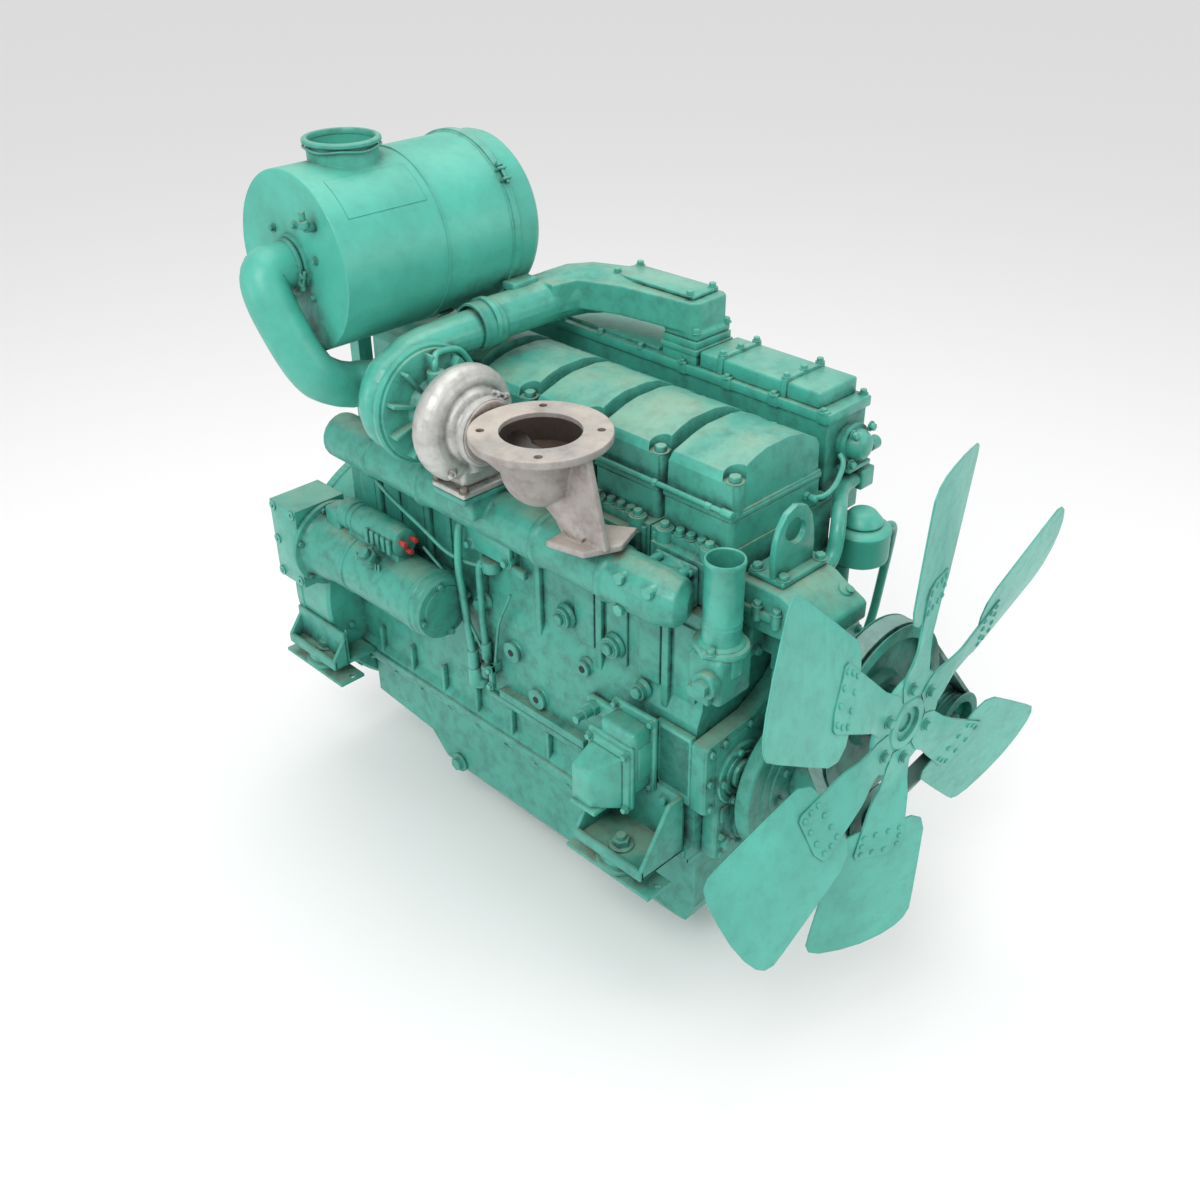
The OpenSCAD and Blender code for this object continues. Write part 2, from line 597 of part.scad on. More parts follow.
module filter_canister() {
  color(green) difference() {
    union() {
      spin_x(filter_x, filter_y, filter_z) polygon([[0, 6], [70, 0], [filter_r - 8, 0], [filter_r, 8], [filter_r, 244], [filter_r + 5, 247],
        [filter_r + 5, 253], [filter_r, 256], [filter_r, filter_l - 4], [filter_r + 6, filter_l], [0, filter_l]]);
      cyl_up(-295, -375, 1190, 78, 92);
      cyl_up(-295, -375, 1276, 86, 12);
      cyl_along_x(filter_x - 12, filter_y, filter_z, 64, 20);
    }
    cyl_along_x(filter_x + 9, filter_y, filter_z, filter_r - 5, filter_l);
    cyl_along_x(filter_x - 13, filter_y, filter_z, 46, 30);
    cyl_up(-295, -375, 1150, 72, 140);
  }
}
module filter_end_cover() {
  color(green) spin_x(filter_x + filter_l + gap, filter_y, filter_z) polygon([[0, 0], [filter_r + 6, 0], [filter_r + 8, 4], [filter_r + 8, 14], [filter_r, 18],
    [filter_r, 60], [filter_r - 12, 84], [filter_r - 50, 98], [0, 106]]);
}
module filter_element() {
  color([0.8, 0.75, 0.6]) difference() {
    cyl_along_x(filter_x + 9 + gap, filter_y, filter_z, filter_r - 30, filter_l - 9 - 2 * gap);
    cyl_along_x(filter_x + 9, filter_y, filter_z, filter_r - 80, filter_l - 24);
  }
}
module filter_bracket() {
  color(green) for (x = [-160, -60]) difference() {
    union() {
      face_x(x, 40) polygon([[-150, 336], [-112, 336], [-112, 960], [-210, 960], [-226, 900], [-160, 880], [-150, 800]]);
      face_x(x, 40) difference() {
        translate([filter_y, filter_z]) circle(r = filter_r + 6);
        translate([-700, 884]) square([700, 500]);
      }
      face_x(x, 40) polygon([[-246, 905], [-290, 872], [-280, 850], [-160, 880], [-160, 930]]);
    }
    cyl_along_x(x - 1, filter_y, filter_z, filter_r + gap, 42);
    cyl_along_y(0, -160, 0, 353 + gap, 60);
  }
}
module inlet_pipe() {
  color(green) hollow_sweep(inlet_route(), inlet_r, 8, 24);
}
module thermostat_housing() {
  color(green) difference() {
    union() {
      face_x(-140, 175) polygon([[front_y, 440], [front_y, 545], [-1510, 545], [-1560, 520], [-1610, 500], [-1610, 452], [-1500, 440]]);
      face_x(-150, 195) polygon([[front_y, 480], [front_y, 494], [-1520, 494], [-1520, 480]]);
      for (y = [-1412, -1462, -1512], x = [-144, 39]) cyl_up(x, y, 470, 10, 34);
    }
    box(-120, 15, -1590, front_y - 12, 452, 486);
    cyl_along_y(-50, front_y - 14, 480, 30, 16);
  }
}
module lifting_eye() {
  color(green) difference() {
    union() {
      box(-116, 34, -1502, -1412, 545, 560);
      face_y(-1466, 14) polygon([[-116, 560], [-123, 600], [-110, 690], [-90, 709], [-20, 709], [4, 690], [12, 600], [9, 560]]);
    }
    translate([-56, -1460, 655]) rotate([90, 0, 0]) linear_extrude(30) round_rect(70, 50, 24);
    for (x = [-100, 18]) cyl_up(x, -1430, 544, 7, 20);
  }
}
module water_tube() {
  color(green) difference() {
    union() {
      cyl_up(-228, -1440, 444, tube_r, 199);
      cyl_up(-228, -1440, 636, tube_r + 3, 7);
      intersection() {
        cyl_up(-228, -1440, 436, 62, 16);
        box(-300, -160, -1510, front_y, 430, 460);
      }
      box(-284, -178, -1488, front_y, 320, 436);
      cyl_up(-284, -1440, 428, 16, 24);
    }
    cyl_up(-228, -1440, 400, tube_r - 5, 244);
    box(-272, -190, -1476, front_y - 10, 334, 424);
    cyl_along_y(-206, front_y - 12, 380, 14, 14);
  }
}
module filler_can() {
  color(green) difference() {
    union() {
      cyl_up(212, -1462, 470, can_r, 72);
      translate([212, -1462, 542]) cylinder(r1 = can_r, r2 = 40, h = 16);
      cyl_up(212, front_y - 23, 330, 19, 142);
      cyl_along_x(268, -1462, 505, 12, 22);
    }
    cyl_up(212, -1462, 476, can_r - 5, 64);
    cyl_up(212, -1462, 530, 33, 40);
    cyl_up(212, front_y - 23, 329, 14, 150);
  }
}
module filler_cap() {
  color(dark) union() {
    cyl_up(212, -1462, 558 + gap, 44, 14);
    cyl_up(212, -1462, 545, 32.9, 14);
    for (i = [0 : 3]) translate([212, -1462, 566]) rotate(i * 90) cyl_up(42, 0, -6, 6, 12);
  }
}
module fan_bracket() {
  color(green) difference() {
    union() {
      box(-110, 110, front_y - 30, front_y, 335, 436);
      cyl_along_y(0, -1636, fan_z, 66, 190);
      face_x(-30, 60) polygon([[front_y - 20, 335], [front_y - 20, 436], [-1470, 420], [-1600, 344], [-1600, 290], [-1446, 290], [-1446, 335]]);
      for (s = [-1, 1]) face_x(s * 60 - 7, 14) polygon([[front_y - 20, 335], [front_y - 20, 436], [-1560, 320], [-1560, 290], [-1446, 290], [-1446, 335]]);
    }
    cyl_along_y(0, -1637, fan_z, 35 + run_clear, 150);
    for (x = [-92, 92], z = [352, 420]) cyl_along_y(x, front_y - 31, z, 8, 32);
  }
}
module belt_2d(r) {
  hull() {
    circle(r = crank_pulley_r + r);
    translate([0, fan_z]) circle(r = fan_pulley_r + r);
    translate([pump_x, pump_z]) circle(r = pump_pulley_r + r);
  }
}
module fan_belt() {
  color(dark) face_y(-1672 + belt_w / 2, belt_w) difference() {
    belt_2d(gap + 10);
    belt_2d(gap);
  }
}
module pulley_at(x, z, r, w) {
  for (s = [-1, 1]) cyl_along_y(x, -1672 - 4 + s * (w / 2 + 5), z, r + 11, 8);
  cyl_along_y(x, -1672 - w / 2 - 4, z, r, w + 8);
}
module water_pump() {
  color(green) difference() {
    union() {
      cyl_along_y(pump_x, -1560, pump_z, 92, case_y + 1560);
      cyl_along_y(pump_x, -1636, pump_z, 46, 90);
      box(216, pump_x, case_y - 6, front_y, pump_z - 120, pump_z - 55);
      cyl_up(pump_x + 34, -1506, pump_z - 150, 36, 120);
      cyl_up(pump_x + 34, -1506, pump_z - 150, 41, 8);
    }
    cyl_along_y(pump_x, -1637, pump_z, 20 + run_clear, 120);
    cyl_along_y(pump_x, -1548, pump_z, 74, 70);
    cyl_up(pump_x + 34, -1506, pump_z - 151, 28, 120);
  }
}
module pump_rotor() {
  color(steel) union() {
    cyl_along_y(pump_x, -1660, pump_z, 20, 120);
    pulley_at(pump_x, pump_z, pump_pulley_r, belt_w);
    cyl_along_y(pump_x, -1542, pump_z, 66, 8);
    for (i = [0 : 5]) translate([pump_x, -1534, pump_z]) rotate([0, i * 60, 0]) box(18, 64, 0, 26, -3, 3);
    cyl_along_y(pump_x, -1541, pump_z, 22, 40);
  }
}
module starter_motor() {
  color(green) difference() {
    union() {
      spin_y(starter_x, 0, starter_z) polygon([[0, -640], [74, -640], [starter_r + 1, -628], [starter_r + 1, -596], [starter_r - 2, -592],
        [starter_r - 2, -300], [starter_r + 1, -296], [starter_r + 1, -161], [0, -161]]);
      face_y(-161, 17) intersection() {
        translate([starter_x, starter_z]) circle(r = 118);
        translate([starter_x - 120, starter_z - 120]) square([120 - starter_x - side_x - 2, 240]);
      }
      cyl_along_y(starter_x, -520, 342, 40, 260);
      box(starter_x - 30, starter_x + 30, -500, -290, 270, 330);
      box(starter_x - 28, starter_x + 28, -262, -200, 250, 345);
    }
    cyl_along_y(pinion_x, -232, pinion_z, 20 + run_clear, 70);
    cyl_along_y(pinion_x, -172, pinion_z, 34, 20);
  }
}
module starter_pinion() {
  color(steel) union() {
    gear_along_y(pinion_x, -124, pinion_z, pinion_teeth, ring_module, mesh_phase(pinion_a, 0, ring_teeth, pinion_teeth), 26);
    cyl_along_y(pinion_x, -231, pinion_z, 20, 95);
  }
}
module accessory_case() {
  color(green) difference() {
    union() {
      box(-262, -side_x, front_y, -1290, 15, 185);
      box(-276, -side_x, -1300, -1286, 5, 195);
      for (p = [[-1380, 30], [-1380, 170], [-1310, 170], [-1310, 30]]) hex_along_x(-268, p[0], p[1], 8, 8);
    }
    box(-254, -side_x - 5, front_y + 8, -1308, 24, 176);
  }
}
module fuel_pump() {
  color(green) union() {
    box(-330, -side_x - 4, -1286, -1150, -30, 180);
    box(-352, -258, -1150, -1062, -120, 150);
    cyl_along_y(-300, -1062, 70, 42, 16);
    box(-344, -262, -1270, -1170, 180, 200);
    cyl_along_y(-306, -1286, 110, 26, 150);
    cyl_along_x(-372, -1110, 20, 22, 30);
    cyl_up(-305, -1106, 150, 24, 40);
    box(-side_x - 5, -side_x, -1280, -1160, 0, 150);
    for (p = [[-1260, -10], [-1175, -10], [-1260, 165], [-1175, 165]]) hex_along_x(-336, p[0], p[1], 8, 8);
  }
}
module foot(y0, y1, x_in, z_top) {
  box(-400, -326, y0, y1, -195, -185);
  box(-400, x_in, y0 + 20, y0 + 34, -185, z_top);
  box(-400, x_in, y1 - 34, y1 - 20, -185, z_top);
  box(-400, x_in, y0 + 20, y1 - 20, z_top, z_top + 12);
  cyl_up(-362, (y0 + y1) / 2, -185, 36, 26);
  cyl_up(-362, (y0 + y1) / 2, z_top + 12, 22, 6);
  hex_up(-362, (y0 + y1) / 2, z_top + 18, 18, 16);
}
module feet_side() {
  difference() {
    foot(-1405, -1140, -rail_x, -110);
    for (y = [-1392, -1153]) cyl_up(-352, y, -200, 9, 20);
  }
  difference() {
    foot(-240, 25, -rail_x, -110);
    for (y = [-227, 12]) cyl_up(-352, y, -200, 9, 20);
    cyl_along_y(0, -170, 0, flange_r + gap, 200);
  }
}
module mounting_feet() {
  color(green) feet_side();
  color(green) mirror([1, 0, 0]) feet_side();
}
module fluid_lines() {
  color(green) pipe_run([[269.7, -1394, 618], [214, -1394, 618], [110, -1470, 606], [88, -1480, 524], [35.3, -1480, 524]], 17);
  color(green) pipe_run([[-225.3, -440, 440], [-247, -440, 440], [-247, -626, 440], [-225.3, -626, 440]], 8);
  color(steel) pipe_run([[-156.3, -1386, 690], [-156.3, -1026, 690]], 6);
  color(steel) pipe_run([[-225.3, -703, 340], [-259, -703, 340], [-259, -712, 40], [-240.3, -712, 40]], 7);
  color(dark) pipe_run([[-225.3, -640, 430], [-258, -640, 430], [-274, -664, 320], [-266, -668, 30], [-240.3, -668, 30]], 8);
  color(dark) pipe_run([[290.3, -1462, 505], [344, -1462, 505], [372, -1440, 420], [366, -1422, 230], [346, -1418, 165], [308.8, -1418, 165]], 11);
}
module crankshaft() {
  color(steel) union() {
    for (n = [0 : 6]) cyl_along_y(0, n == 0 ? front_y : cyl1_y - cyl_pitch / 2 + n * cyl_pitch - 36, 0, main_r, n == 0 ? 36.5 : 72);
    for (n = [1 : 6]) rotate([0, crank_a(n), 0]) {
      cyl_along_y(0, cyl_y(n) - 36, throw_r, pin_r, 72);
      for (s = [-1, 1]) translate([0, cyl_y(n) + s * 51 + 16, 0]) rotate([90, 0, 0]) linear_extrude(32) union() {
        intersection() {
          circle(r = weight_r);
          polygon([[-130, 10], [130, 10], [150, -150], [-150, -150]]);
        }
        translate([0, throw_r]) circle(r = 54);
        square([108, 150], center = true);
      }
    }
    cyl_along_y(0, nose_y, 0, 60, 100);
    cyl_along_y(0, -1660, 0, 38, 220);
    cyl_along_y(0, rear_y + gap, 0, 80, 24 - gap);
    gear_along_y(0, gear_y, 0, crank_teeth, gear_module, 0, gear_w);
  }
}
module flywheel() {
  color(steel) difference() {
    union() {
      spin_y(0, 0, 0) polygon([[0, -126], [130, -126], [140, -112], [250, -112], [250, -120], [306, -120], [306, -26], [240, -26], [240, -60],
        [120, -70], [0, -70]]);
      gear_along_y(0, -88, 0, ring_teeth, ring_module, 0, 30);
    }
    for (i = [0 : 11]) rotate([0, i * 30 + 15, 0]) cyl_along_y(273, -60, 0, 7, 40);
  }
}
module crank_pulley() {
  color(steel) difference() {
    union() {
      cyl_along_y(0, damper_y - 44, 0, damper_r, 44);
      cyl_along_y(0, damper_y - 48, 0, 120, 46);
      cyl_along_y(0, -1700, 0, 58, nose_y - gap + 1700);
      pulley_at(0, 0, crank_pulley_r, belt_w);
    }
    cyl_along_y(0, -1661, 0, 38 + run_clear, 240);
    spin_y(0, damper_y, 0) polygon([[146, -46], [178, -46], [178, -36], [146, -36]]);
  }
}
module camshaft() {
  color(steel) union() {
    cyl_along_y(cam_x, front_y - 20, cam_z, 22, block_l - 20);
    for (n = [0 : 6]) cyl_along_y(cam_x, cyl1_y - cyl_pitch / 2 + n * cyl_pitch - (n == 0 ? 0.5 : 20), cam_z, cam_j, n == 0 ? 20 : 30);
    for (n = [1 : 6], s = [-1, 1]) translate([cam_x, cyl_y(n) + push_dy(s) + 12, cam_z])
      rotate([0, crank_a(n) / 2 + s * 50, 0]) rotate([90, 0, 0]) linear_extrude(24) union() {
        circle(r = 26);
        translate([0, 14]) circle(r = 20);
        translate([0, 7]) square([45, 14], center = true);
      }
    gear_along_y(cam_x, gear_y, cam_z, cam_teeth, gear_module, mesh_phase(cam_a, 0, crank_teeth, cam_teeth), gear_w);
  }
}
module accessory_gear() {
  color(steel) union() {
    gear_along_y(acc_x, gear_y, acc_z, access_teeth, gear_module, mesh_phase(acc_a, 0, crank_teeth, access_teeth), gear_w);
    cyl_along_y(acc_x, case_y - 19, acc_z, 22, 50);
  }
}
module fan() {
  color(green) union() {
    cyl_along_y(0, -1754, fan_z, 150, 8);
    cyl_along_y(0, -1770, fan_z, 60, 40);
    for (i = [0 : 5]) translate([0, -1751, fan_z]) rotate([0, -(22.5 + 60 * i), 0]) {
      box(105, fan_r - 265, -7, 7, -56, 56);
      translate([fan_r - 135, 0, 0]) rotate([16, 0, 0]) rotate([90, 0, 0]) linear_extrude(5, center = true)
        polygon([[-200, -60], [-170, -120], [85, -150], [118, -134], [135, 20], [112, 132], [78, 150], [-170, 130], [-200, 80]]);
    }
    for (i = [0 : 5]) translate([0, -1760, fan_z]) rotate([0, i * 60, 0]) hex_along_y(95, 0, 0, 11, 10);
  }
}
module fan_pulley() {
  color(steel) union() {
    pulley_at(0, fan_z, fan_pulley_r, belt_w);
    cyl_along_y(0, -1730, fan_z, 75, 60);
    cyl_along_y(0, -1680, fan_z, 35, 180);
  }
}
module turbo_rotor() {
  color(steel) union() {
    cyl_along_y(-335, -820, 762, 12, 262);
    spin_y(-335, -600, 762) polygon([[0, -40], [56, -40], [56, -34], [22, 0], [16, 36], [0, 36]]);
    for (i = [0 : 9]) translate([-335, -600, 762]) rotate([0, i * 36, 0]) face_y(34, 66) translate([14, -1.2]) square([28, 2.4]);
    spin_y(-335, -786, 762) polygon([[0, 36], [54, 36], [54, 28], [20, 4], [14, -28], [0, -28]]);
    for (i = [0 : 9]) translate([-335, -786, 762]) rotate([0, i * 36, 0]) face_y(24, 50) translate([12, -1.2]) square([32, 2.4]);
  }
}
module piston_at(n) {
  z = pin_z(crank_a(n));
  y = cyl_y(n);
  color(steel) difference() {
    cyl_up(0, y, z - 52, bore_r - 0.08, pin_to_crown + 50);
    cyl_up(0, y, z - 53, 66, 96);
    for (i = [0 : 2]) translate([0, 0, z + pin_to_crown - 20 - i * 12]) difference() {
      cyl_up(0, y, 0, bore_r + 1, 4);
      cyl_up(0, y, -1, bore_r - 3, 6);
    }
  }
  color(steel) difference() {
    cyl_along_y(0, y - 64, z, 27, 128);
    cyl_along_y(0, y - 65, z, 15, 130);
  }
}
module pistons_1_6() { for (n = [1, 6]) piston_at(n); }
module pistons_2_5() { for (n = [2, 5]) piston_at(n); }
module pistons_3_4() { for (n = [3, 4]) piston_at(n); }

cylinder_block();
cylinder_liners();
cylinder_heads();
rocker_housings();
rocker_cover_1();
rocker_cover_2();
rocker_cover_3();
rocker_cover_4();
rocker_cover_5();
rocker_cover_6();
cover_bolts();
push_rods();
rocker_arms();
valves();
side_cover();
flywheel_housing();
starter_box();
gear_case();
oil_pan();
oil_filters();
aftercooler_body();
aftercooler_cover();
aftercooler_core();
air_crossover();
compressor_housing();
turbine_housing();
bearing_housing();
exhaust_elbow();
exhaust_manifold();
filter_canister();
filter_end_cover();
filter_element();
filter_bracket();
inlet_pipe();
thermostat_housing();
water_tube();
water_pump();
lifting_eye();
filler_can();
fan_bracket();
fan_belt();
starter_motor();
accessory_case();
fuel_pump();
mounting_feet();
fluid_lines();
crankshaft();
flywheel();
crank_pulley();
camshaft();
accessory_gear();
fan();
fan_pulley();
pump_rotor();
turbo_rotor();
pistons_1_6();
pistons_2_5();
pistons_3_4();
starter_pinion();
filler_cap();
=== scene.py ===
import math
import bpy
from mathutils import Matrix, Vector


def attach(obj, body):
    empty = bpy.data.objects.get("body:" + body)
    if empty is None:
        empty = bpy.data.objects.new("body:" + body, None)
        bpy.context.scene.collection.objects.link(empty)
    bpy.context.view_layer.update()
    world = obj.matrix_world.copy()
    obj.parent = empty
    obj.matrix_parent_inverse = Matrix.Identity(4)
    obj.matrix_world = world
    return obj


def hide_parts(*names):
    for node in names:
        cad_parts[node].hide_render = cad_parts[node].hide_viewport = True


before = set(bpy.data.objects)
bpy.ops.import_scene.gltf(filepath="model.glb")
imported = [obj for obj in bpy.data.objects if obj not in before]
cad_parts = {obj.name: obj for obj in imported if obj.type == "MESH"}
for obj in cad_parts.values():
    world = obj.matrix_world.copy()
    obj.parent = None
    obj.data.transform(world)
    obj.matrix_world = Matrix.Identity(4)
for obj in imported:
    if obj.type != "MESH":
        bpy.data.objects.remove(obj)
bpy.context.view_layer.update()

MM = 0.001
ROOT = "engine"
# directions in the object frame: the fan is at the front, the turbocharger on the left
FRONT, REAR, LEFT, RIGHT, UP = (0, -1, 0), (0, 1, 0), (-1, 0, 0), (1, 0, 0), (0, 0, 1)
# places that several pieces share, in mm, the same as in the part's source
FAN_Y, FAN_Z = -1751.0, 280.0
PULLEY_Y = -1676
PUMP_X, PUMP_Z = 330, 60
PINION_X, PINION_Z = -290.5, 187.2
TURBO_X, TURBO_Y, TURBO_Z = -335, -600, 762
FILTER_X, FILTER_Y, FILTER_Z = -455, -381, 1048
FILTER_R = 198
STARTER_X, STARTER_Z = -326, 212
CYL_Y = [-1293 + 203 * i for i in range(6)]
ROCKER_TOP = 665
FLOOR_Z = -0.56  # metres, below the feet
bpy.ops.object.select_all(action="DESELECT")

# ---------------------------------------------------------------- materials
def link(tree, a, b):
    tree.links.new(a, b)

def group_begin(name, inputs, outputs):
    """A node group with the given sockets, and its input and output nodes."""
    tree = bpy.data.node_groups.new(name, "ShaderNodeTree")
    for label, kind, value in inputs:
        s = tree.interface.new_socket(name=label, in_out="INPUT", socket_type=kind)
        s.default_value = value
    for label, kind in outputs:
        tree.interface.new_socket(name=label, in_out="OUTPUT", socket_type=kind)
    return tree, tree.nodes.new("NodeGroupInput"), tree.nodes.new("NodeGroupOutput")

def noise(tree, coord, scale, detail=4.0, rough=0.55):
    """A noise texture's value."""
    n = tree.nodes.new("ShaderNodeTexNoise")
    n.inputs["Scale"].default_value = scale
    n.inputs["Detail"].default_value = detail
    n.inputs["Roughness"].default_value = rough
    link(tree, coord, n.inputs["Vector"])
    return n.outputs["Fac"]

def ramp(tree, fac, lo, hi, a=0.0, b=1.0):
    """Maps fac from lo..hi to a..b."""
    n = tree.nodes.new("ShaderNodeMapRange")
    n.inputs["From Min"].default_value = lo
    n.inputs["From Max"].default_value = hi
    n.inputs["To Min"].default_value = a
    n.inputs["To Max"].default_value = b
    link(tree, fac, n.inputs["Value"])
    return n.outputs["Result"]

def math_node(tree, op, a, b):
    n = tree.nodes.new("ShaderNodeMath")
    n.operation = op
    for i, v in enumerate((a, b)):
        if isinstance(v, (int, float)):
            n.inputs[i].default_value = v
        else:
            link(tree, v, n.inputs[i])
    return n.outputs[0]

def mix_col(tree, fac, a, b):
    n = tree.nodes.new("ShaderNodeMix")
    n.data_type = "RGBA"
    if isinstance(fac, (int, float)):
        n.inputs[0].default_value = fac
    else:
        link(tree, fac, n.inputs[0])
    for i, v in ((6, a), (7, b)):
        if isinstance(v, tuple):
            n.inputs[i].default_value = v
        else:
            link(tree, v, n.inputs[i])
    return n.outputs[2]

def wear_and_shade_group():
    """Colour, roughness and bump of a painted or bare casting: base colour with
    mottling, grime in low-lying noise, painted shade that darkens the crevices found by ambient occlusion, dust
    on faces that look up."""
    # the grime colour serves both for noise grime and for painted shade in crevices
    tree, gi, go = group_begin("casting_wear_and_shade", [("Base", "NodeSocketColor", (0.1, 0.4, 0.3, 1)),
            ("Grime_and_shade", "NodeSocketColor", (0.03, 0.05, 0.045, 1)), ("Dust", "NodeSocketColor",
            (0.42, 0.36, 0.25, 1)), ("Grime_amount", "NodeSocketFloat", 0.3),
            ("Dust_amount", "NodeSocketFloat", 0.3), ("Rough", "NodeSocketFloat", 0.35),
            ("Bump", "NodeSocketFloat", 0.15)], [("Color", "NodeSocketColor"), ("Roughness", "NodeSocketFloat"),
            ("Normal", "NodeSocketVector")])
    tc = tree.nodes.new("ShaderNodeTexCoord")
    co = tc.outputs["Object"]
    geo = tree.nodes.new("ShaderNodeNewGeometry")
    sep = tree.nodes.new("ShaderNodeSeparateXYZ")
    link(tree, geo.outputs["Normal"], sep.inputs[0])
    up = ramp(tree, sep.outputs["Z"], 0.75, 1.0)
    big = noise(tree, co, 6.0, 5.0, 0.6)
    mid = noise(tree, co, 28.0, 6.0, 0.65)
    fine = noise(tree, co, 160.0, 3.0, 0.6)
    # ambient occlusion finds the crevices, which get the grime colour as painted shade
    ao = tree.nodes.new("ShaderNodeAmbientOcclusion")
    ao.inputs["Distance"].default_value = 0.05
    ao.samples = 4
    painted_crevice_shade = ramp(tree, ao.outputs["AO"], 0.25, 0.85, 1.0, 0.0)
    g = math_node(tree, "MULTIPLY", ramp(tree, mid, 0.45, 0.75), gi.outputs["Grime_amount"])
    painted_shade_amount = math_node(tree, "MULTIPLY", math_node(tree, "MULTIPLY", painted_crevice_shade, ramp(tree, mid, 0.2, 0.6)), 0.75)
    g = math_node(tree, "MINIMUM", math_node(tree, "ADD", g, painted_shade_amount), 0.92)
    d = math_node(tree, "MULTIPLY", math_node(tree, "MULTIPLY", up, ramp(tree, big, 0.35, 0.62)),
            gi.outputs["Dust_amount"])
    tint = ramp(tree, big, 0.3, 0.7, 0.86, 1.12)
    hsv = tree.nodes.new("ShaderNodeHueSaturation")
    link(tree, gi.outputs["Base"], hsv.inputs["Color"])
    link(tree, tint, hsv.inputs["Value"])
    # mixes in the grime colour: real grime from noise, plus painted shade in the crevices
    c = mix_col(tree, g, hsv.outputs["Color"], gi.outputs["Grime_and_shade"])
    c = mix_col(tree, d, c, gi.outputs["Dust"])
    link(tree, c, go.inputs["Color"])
    r = math_node(tree, "ADD", gi.outputs["Rough"], math_node(tree, "MULTIPLY", math_node(tree, "ADD", g, d),
            0.35))
    r = math_node(tree, "ADD", r, ramp(tree, fine, 0.3, 0.7, -0.05, 0.06))
    link(tree, r, go.inputs["Roughness"])
    bev = tree.nodes.new("ShaderNodeBevel")
    bev.samples = 4
    bev.inputs["Radius"].default_value = 0.003
    b = tree.nodes.new("ShaderNodeBump")
    link(tree, gi.outputs["Bump"], b.inputs["Strength"])
    b.inputs["Distance"].default_value = 0.002
    link(tree, math_node(tree, "ADD", mid, fine), b.inputs["Height"])
    link(tree, bev.outputs["Normal"], b.inputs["Normal"])
    link(tree, b.outputs["Normal"], go.inputs["Normal"])
    return tree

WEAR_AND_SHADE = wear_and_shade_group()

def material(name, base, rough=0.35, metallic=0.0, grime=0.3, dust=0.3, bump=0.15, coat=0.0,
             grime_and_shade_col=(0.02, 0.035, 0.03), dust_col=(0.42, 0.36, 0.25)):
    """A coating or bare metal on the casting wear group, whose grime colour also paints shade into crevices."""
    m = bpy.data.materials.new(name)
    m.use_nodes = True
    t = m.node_tree
    p = t.nodes["Principled BSDF"]
    g = t.nodes.new("ShaderNodeGroup")
    g.node_tree = WEAR_AND_SHADE
    g.inputs["Base"].default_value = (*base, 1)
    g.inputs["Grime_and_shade"].default_value = (*grime_and_shade_col, 1)
    g.inputs["Dust"].default_value = (*dust_col, 1)
    g.inputs["Grime_amount"].default_value = grime
    g.inputs["Dust_amount"].default_value = dust
    g.inputs["Rough"].default_value = rough
    g.inputs["Bump"].default_value = bump
    link(t, g.outputs["Color"], p.inputs["Base Color"])
    link(t, g.outputs["Roughness"], p.inputs["Roughness"])
    link(t, g.outputs["Normal"], p.inputs["Normal"])
    p.inputs["Metallic"].default_value = metallic
    p.inputs["Coat Weight"].default_value = coat
    p.inputs["Coat Roughness"].default_value = 0.15
    return m

MAT = {"green": material("green_paint", (0.052, 0.355, 0.275), 0.33, 0.0, 0.3, 0.25, 0.12, 0.25),
        "green_dusty": material("green_paint_dusty", (0.058, 0.345, 0.268), 0.4, 0.0, 0.38, 0.4, 0.2, 0.05),
        "green_worn": material("green_paint_worn", (0.044, 0.305, 0.238), 0.42, 0.0, 0.45, 0.35, 0.25, 0.1),
        "green_clean": material("green_paint_smooth", (0.058, 0.375, 0.29), 0.4, 0.0, 0.14, 0.12, 0.04, 0.06),
        "blade": material("green_paint_blade", (0.064, 0.385, 0.305), 0.38, 0.0, 0.22, 0.1, 0.05, 0.05),
        "silver": material("silver_coating", (0.50, 0.50, 0.48), 0.42, 0.55, 0.35, 0.2, 0.2),
        "elbow": material("cast_elbow", (0.36, 0.34, 0.325), 0.58, 0.35, 0.42, 0.55, 0.5, 0.0,
        (0.14, 0.07, 0.04), (0.60, 0.53, 0.45)), "soot": material("exhaust_soot", (0.035, 0.022, 0.016), 0.85,
        0.0, 0.3, 0.5, 0.4, 0.0, (0.01, 0.01, 0.01), (0.10, 0.06, 0.04)), "iron": material("raw_iron",
        (0.22, 0.20, 0.18), 0.6, 0.3, 0.5, 0.3, 0.5, 0.0, (0.12, 0.06, 0.035)), "steel": material("bare_steel",
        (0.55, 0.55, 0.55), 0.33, 0.9, 0.3, 0.1, 0.08), "alloy": material("alloy", (0.68, 0.69, 0.70), 0.35,
        0.85, 0.15, 0.1, 0.08), "paper": material("filter_paper", (0.6, 0.52, 0.38), 0.8, 0.0, 0.1, 0.1, 0.1),
        "red": material("red_cap", (0.45, 0.03, 0.03), 0.35, 0.0, 0.1, 0.1, 0.05),
        "belt": material("belt_painted", (0.16, 0.30, 0.27), 0.55, 0.0, 0.45, 0.15, 0.1),
        # near-black colour for painted shade in holes
        "dark": material("painted_hole_shade", (0.012, 0.014, 0.014), 0.7, 0.0, 0.0, 0.1, 0.1), }

